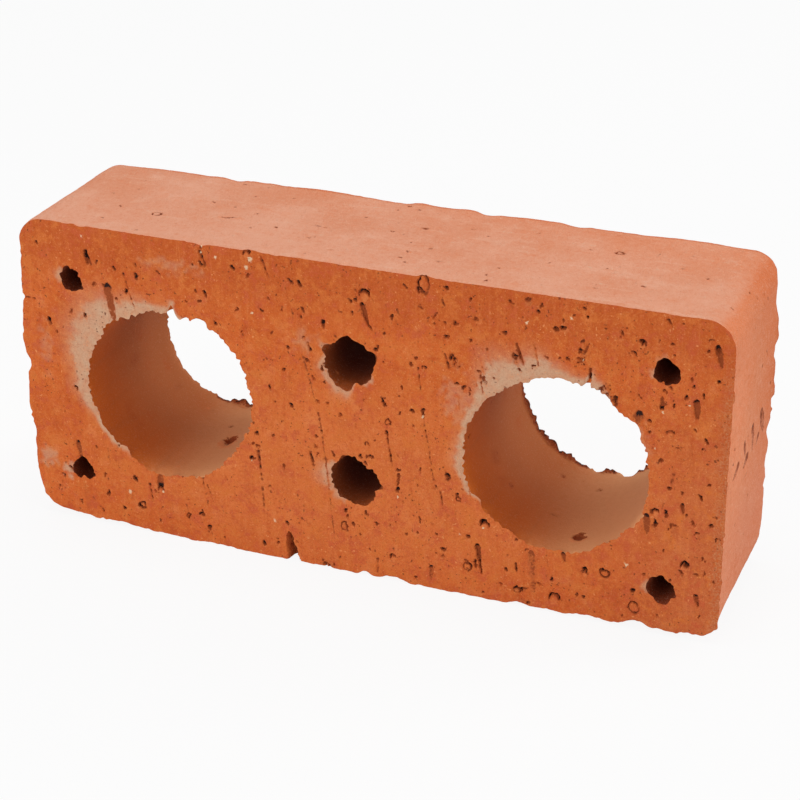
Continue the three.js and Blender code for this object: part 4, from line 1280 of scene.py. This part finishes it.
    def shade(self):
        """Joins the colours, the bump and the roughness in one shader."""
        # Pinpricks: tiny pits, painted dark with shade.
        pinpricks = self.dots.rise(0.3, 0.255) * self.clouds.rise(0.42, 0.6) * (0.3 + 0.7 * self.cut)
        pinpricks = pinpricks * (1 - self.bore)
        skin = self.mix(self.top, self.sides(), self.top_dust_and_sheen())
        skin = self.mix(self.back.rise(0.47, 0.495) * 0.6, skin, self.finish.face_deep)
        colour = self.coats(skin, (self.cut, self.face()), (self.bore, self.wall()))
        colour = self.hollowed(self.grained(self.bloomed(colour)), pinpricks)
        height = 0.5 * self.fine + 0.8 * self.grit + 0.9 * self.speckle * (0.4 + 0.6 * self.cut)
        height = height + 0.5 * self.along * (1 - self.cut) + 0.6 * self.drag * self.cut - 0.6 * pinpricks
        bump = self.node("ShaderNodeBump", None, {
            "Strength": 1.0 - 0.55 * self.bore, "Distance": self.finish.grain_height, "Height": height})
        rough = (self.finish.roughness + 0.12 * (self.grit - 0.5)).clamped()
        shader = self.node("ShaderNodeBsdfPrincipled", None, {
            "Base Color": colour, "Roughness": rough, "Normal": bump, "Specular IOR Level": 0.22})
        self.node("ShaderNodeOutputMaterial", None, {"Surface": shader})


# ---- What a user would change ----
def screen(red, green, blue):
    """A colour given as it looks on a screen, from 0 to 255, as the linear values that shaders use."""
    return tuple(
        c / 12.92 if c <= 0.04045 else ((c + 0.055) / 1.055) ** 2.4
        for c in (red / 255, green / 255, blue / 255)
    )


def colour_of(name, text, value):
    return FloatVectorProperty(name=name, description=text, subtype="COLOR", min=0, max=1, default=value)


def length_of(name, text, value, low=0.0):
    return FloatProperty(name=name, description=text, default=value, min=low)


def share_of(name, text, value, high=1.0):
    return FloatProperty(name=name, description=text, default=value, min=0, max=high)


def angle_of(name, text, degrees):
    return FloatProperty(name=name, description=text, subtype="ANGLE", default=math.radians(degrees))


def power_of(name, text, watts):
    return FloatProperty(name=name, description=text, unit="POWER", default=watts, min=0)


class BrickSizes(bpy.types.PropertyGroup):
    """Sizes of the section and of the relief, in millimetres."""

    corner_radius: length_of("Corner radius", "Radius of the section's corners, mm", 9.0)
    underside_flat: length_of("Underside flat", "Length of the flat middle of the underside, mm", 80.0)
    underside_lift: length_of("Underside lift", "How far the underside rises to its corners, mm", 2.5)
    grip_radius: length_of("Grip hole radius", "Radius of the two large holes, mm", 28.6)
    core_radius: length_of("Core hole radius", "Radius of the two middle holes, mm", 7.8)
    pin_radius: length_of("Pin hole radius", "Radius of the four corner holes, mm", 3.8)
    raggedness: share_of("Raggedness", "Strength of the fine relief", 1.0, 2.0)
    fine_step: length_of("Fine step", "Distance between points where the surface is torn, mm", 0.36, 0.2)
    coarse_step: length_of("Coarse step", "Distance between points where it is smooth, mm", 1.3, 0.4)
    fine_points: IntProperty(name="Fine points", description="Points kept for torn places", default=40000)
    seed: IntProperty(name="Seed", description="Start of the seeded small marks", default=11)


class BrickFinish(bpy.types.PropertyGroup):
    """Colours and grain of the fired clay."""

    face: colour_of("Cut face", "Wire-cut face", screen(215, 104, 42))
    face_deep: colour_of("Cut face, deep", "Deeper patches of the cut face", screen(203, 94, 34))
    face_red: colour_of("Cut face, red", "Redder patches of the cut face", screen(184, 74, 26))
    face_pale: colour_of("Cut face, pale", "Pale crumbs and streaks of the cut face", screen(225, 128, 70))
    face_brown: colour_of("Cut face, brown", "Under the upper edge", screen(190, 85, 30))
    face_ochre: colour_of("Cut face, ochre", "Yellower patches of the cut face", screen(214, 114, 50))
    face_rose: colour_of("Cut face, rose", "Pinker patches of the cut face", screen(199, 89, 50))
    face_grain: colour_of("Cut face, grains", "Palest grains of the cut face", screen(236, 150, 92))
    skin: colour_of("Skin", "Skin that slid along the die", screen(224, 125, 74))
    skin_pale: colour_of("Skin, pale", "Pale streaks of the skin", screen(225, 139, 96))
    skin_warm: colour_of("Skin, warm", "Skin towards the front", screen(252, 156, 110))
    skin_deep: colour_of("Skin, deep", "Deeper patches of the skin", screen(214, 109, 56))
    skin_pink: colour_of("Skin, pink", "Skin low on the sides", screen(224, 138, 104))
    # The upper skin's two colours below hold its dust and a painted sheen.
    dust_and_sheen: colour_of("Dust", "The upper skin", screen(222, 144, 108))
    pale_dust_and_sheen: colour_of("Dust, pale", "Paler patches of the upper skin", screen(230, 162, 131))
    dust_white: colour_of("Dust, white", "Streaks of the upper skin", screen(236, 180, 152))
    # Painted light: the bore colour below is the lighter one near the front mouths; the rear one lies
    # further in.
    bore: colour_of("Bore", "Walls of the holes", screen(221, 112, 34))
    bore_rear: colour_of("Bore, rear", "Walls of the holes towards the rear", screen(186, 108, 58))
    bore_deep: colour_of("Bore, deep", "Deeper patches in the holes", screen(186, 88, 28))
    # Partly painted light: the pale lower right of the grips' walls is dust and the light that falls there.
    bore_dust_and_light: colour_of("Bore, dust", "Dust low on the walls", screen(234, 163, 106))
    # Painted shade: the colour of the shade deep in the narrow holes and on the grips' upper walls and front
    # foot.
    soot: colour_of("Painted bore shade", "Walls in the narrow holes", screen(104, 34, 4))
    bloom: colour_of("Bloom", "Pale bloom round the mouths", screen(213, 174, 142))
    bloom_deep: colour_of("Bloom, deep", "Grains of the bloom", screen(203, 159, 127))
    ash: colour_of("Edge dust", "Greyish grains along the right edge", screen(188, 128, 92))
    # Painted shade: the two hollow colours below darken pits, scores, grooves, cracks, burrs and gaps.
    hollow_brown: colour_of("Hollow, upper", "Upper walls of pits and scores", screen(148, 68, 30))
    hollow: colour_of("Hollow", "Bottoms of pits and scores", screen(34, 12, 6))
    lime: colour_of("Lime", "Pale flecks of lime", screen(240, 206, 168))
    roughness: share_of("Roughness", "Roughness of the fired clay", 0.82)
    grain_height: FloatProperty(name="Grain height", description="Height of the finest grain",
                                default=0.35 * MM, min=0, unit="LENGTH", precision=6)


class StudioSettings(bpy.types.PropertyGroup):
    """The camera, the lamps and the white surroundings."""

    camera_place: FloatVectorProperty(name="Camera place", description="Where the camera stands",
                                      unit="LENGTH", default=(0.22812, -0.55402, 0.34435), precision=5)
    azimuth: angle_of("Azimuth", "Turn of the view to the left", 22.102)
    elevation: angle_of("Elevation", "How far the view looks down", 26.262)
    roll: angle_of("Roll", "Turn of the picture", -0.476)
    lens: FloatProperty(name="Lens", description="Focal length, mm, on a sensor 36 mm wide", default=95.21)
    front: power_of("Front lamp", "Power of the lamp before the front", 3.6)
    top: power_of("Top lamp", "Power of the lamp overhead", 2.7)
    right: power_of("Right lamp", "Power of the lamp on the right", 2.9)
    ambient: FloatProperty(name="Ambient", description="Strength of the light from all round", default=0.56)
    backdrop: colour_of("Backdrop", "Colour of the floor", (0.8, 0.8, 0.8))
    floor_white: share_of("Floor white", "How much of the floor is plain white", 0.9)


# Each lamp of the studio faces the brick's middle. Metres.
LAMPS = {"front": (-0.33, -1.0, 0.27), "top": (0.0, 0.0, 1.1), "right": (0.8, 0.5, 0.5)}
LAMP_SIZE = 0.5
FLOOR_REACH = 4.0
SENSOR_WIDTH = 36.0  # millimetres
WHITE = (1.0, 1.0, 1.0, 1.0)


# ---- Making the pieces ----
class BRICK_OT_body(bpy.types.Operator):
    """Build the brick as one closed mesh with its relief, stains and fired clay"""

    bl_idname = "brick.body"
    bl_label = "Brick"

    def execute(self, context):
        mesh = Brick(context.scene.brick_sizes).mesh("fired_brick")
        for polygon in mesh.polygons:
            polygon.use_smooth = True
        mesh.set_sharp_from_angle(angle=math.radians(62))
        mesh.materials.append(Clay(context.scene.brick_finish).material)
        brick = bpy.data.objects.new("fired_brick", mesh)
        context.scene.collection.objects.link(brick)
        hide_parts("brick")
        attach(brick, "root")
        return {"FINISHED"}


def white_when_seen(sheet, white, share, light):
    """Plain white for the camera and for gloss, and the given light for the rest."""
    seen = sheet.outputs("ShaderNodeLightPath", ("Is Camera Ray", "Is Glossy Ray", "Is Transmission Ray"))
    factor = (seen[0] + seen[1] + seen[2]).clamped() * share
    return sheet.node("ShaderNodeMixShader", None, {0: factor, 1: light, 2: white})


def add_camera(scene, studio):
    camera = bpy.data.cameras.new("camera")
    camera.lens, camera.sensor_width = studio.lens, SENSOR_WIDTH
    camera.clip_start, camera.clip_end = 0.01, 20.0
    view = bpy.data.objects.new("camera", camera)
    turn = Matrix.Rotation(studio.azimuth, 4, "Z") @ Matrix.Rotation(math.pi / 2 - studio.elevation, 4, "X")
    view.matrix_world = Matrix.Translation(studio.camera_place) @ turn @ Matrix.Rotation(studio.roll, 4, "Z")
    scene.collection.objects.link(view)
    scene.camera = view


def add_floor(scene, studio):
    mesh = bpy.data.meshes.new("floor")
    corners = [(x * FLOOR_REACH, y * FLOOR_REACH, 0.0) for x, y in ((-1, -1), (1, -1), (1, 1), (-1, 1))]
    mesh.from_pydata(corners, [], [(0, 1, 2, 3)])
    floor = bpy.data.objects.new("floor", mesh)
    scene.collection.objects.link(floor)
    paint = bpy.data.materials.new("white_floor")
    sheet = Sheet(paint)
    matt = sheet.node("ShaderNodeBsdfDiffuse", None, {"Color": (*studio.backdrop, 1.0)})
    white = sheet.node("ShaderNodeEmission", None, {"Color": WHITE, "Strength": 1.0})
    shown = white_when_seen(sheet, white, studio.floor_white, matt)
    sheet.node("ShaderNodeOutputMaterial", None, {"Surface": shown})
    mesh.materials.append(paint)


def add_surroundings(scene, studio):
    scene.world = bpy.data.worlds.new("surroundings")
    sheet = Sheet(scene.world)
    soft = sheet.node("ShaderNodeBackground", None, {"Color": WHITE, "Strength": studio.ambient})
    white = sheet.node("ShaderNodeBackground", None, {"Color": WHITE, "Strength": 1.0})
    shown = white_when_seen(sheet, white, 1.0, soft)
    sheet.node("ShaderNodeOutputWorld", None, {"Surface": shown})


def add_lamp(scene, name, place, power):
    lamp = bpy.data.lights.new(name, "AREA")
    lamp.shape, lamp.size, lamp.energy = "DISK", LAMP_SIZE, power
    holder = bpy.data.objects.new(name, lamp)
    middle = Vector((0.0, 0.0, HEIGHT * MM / 2))
    holder.location = place
    holder.rotation_euler = (middle - Vector(place)).to_track_quat("-Z", "Y").to_euler()
    scene.collection.objects.link(holder)


class BRICK_OT_studio(bpy.types.Operator):
    """Set the camera, the white floor, the soft lamps and the surroundings"""

    bl_idname = "brick.studio"
    bl_label = "Studio"

    def execute(self, context):
        scene, studio = context.scene, context.scene.brick_studio
        add_camera(scene, studio)
        add_floor(scene, studio)
        add_surroundings(scene, studio)
        for name, place in LAMPS.items():
            add_lamp(scene, f"{name}_lamp", place, getattr(studio, name))
        scene.view_settings.view_transform = "Standard"
        return {"FINISHED"}


class BRICK_PT_panel(bpy.types.Panel):
    """The steps that build the scene"""

    bl_label = "Brick"
    bl_idname = "BRICK_PT_panel"
    bl_space_type = "VIEW_3D"
    bl_region_type = "UI"
    bl_category = "Brick"

    def draw(self, context):
        scene = context.scene
        for group, operator in ((scene.brick_studio, BRICK_OT_studio), (scene.brick_sizes, BRICK_OT_body),
                                (scene.brick_finish, None)):
            box = self.layout.box()
            for name in group.__annotations__:
                box.prop(group, name)
            if operator:
                box.operator(operator.bl_idname)


GROUPS = {"brick_sizes": BrickSizes, "brick_finish": BrickFinish, "brick_studio": StudioSettings}
CLASSES = (*GROUPS.values(), BRICK_OT_studio, BRICK_OT_body, BRICK_PT_panel)


def register():
    for each in CLASSES:
        bpy.utils.register_class(each)
    for name, group in GROUPS.items():
        setattr(bpy.types.Scene, name, PointerProperty(type=group))


def unregister():
    for name in GROUPS:
        delattr(bpy.types.Scene, name)
    for each in reversed(CLASSES):
        bpy.utils.unregister_class(each)


def main():
    register()
    bpy.ops.brick.studio()
    bpy.ops.brick.body()


if __name__ == "__main__":
    main()
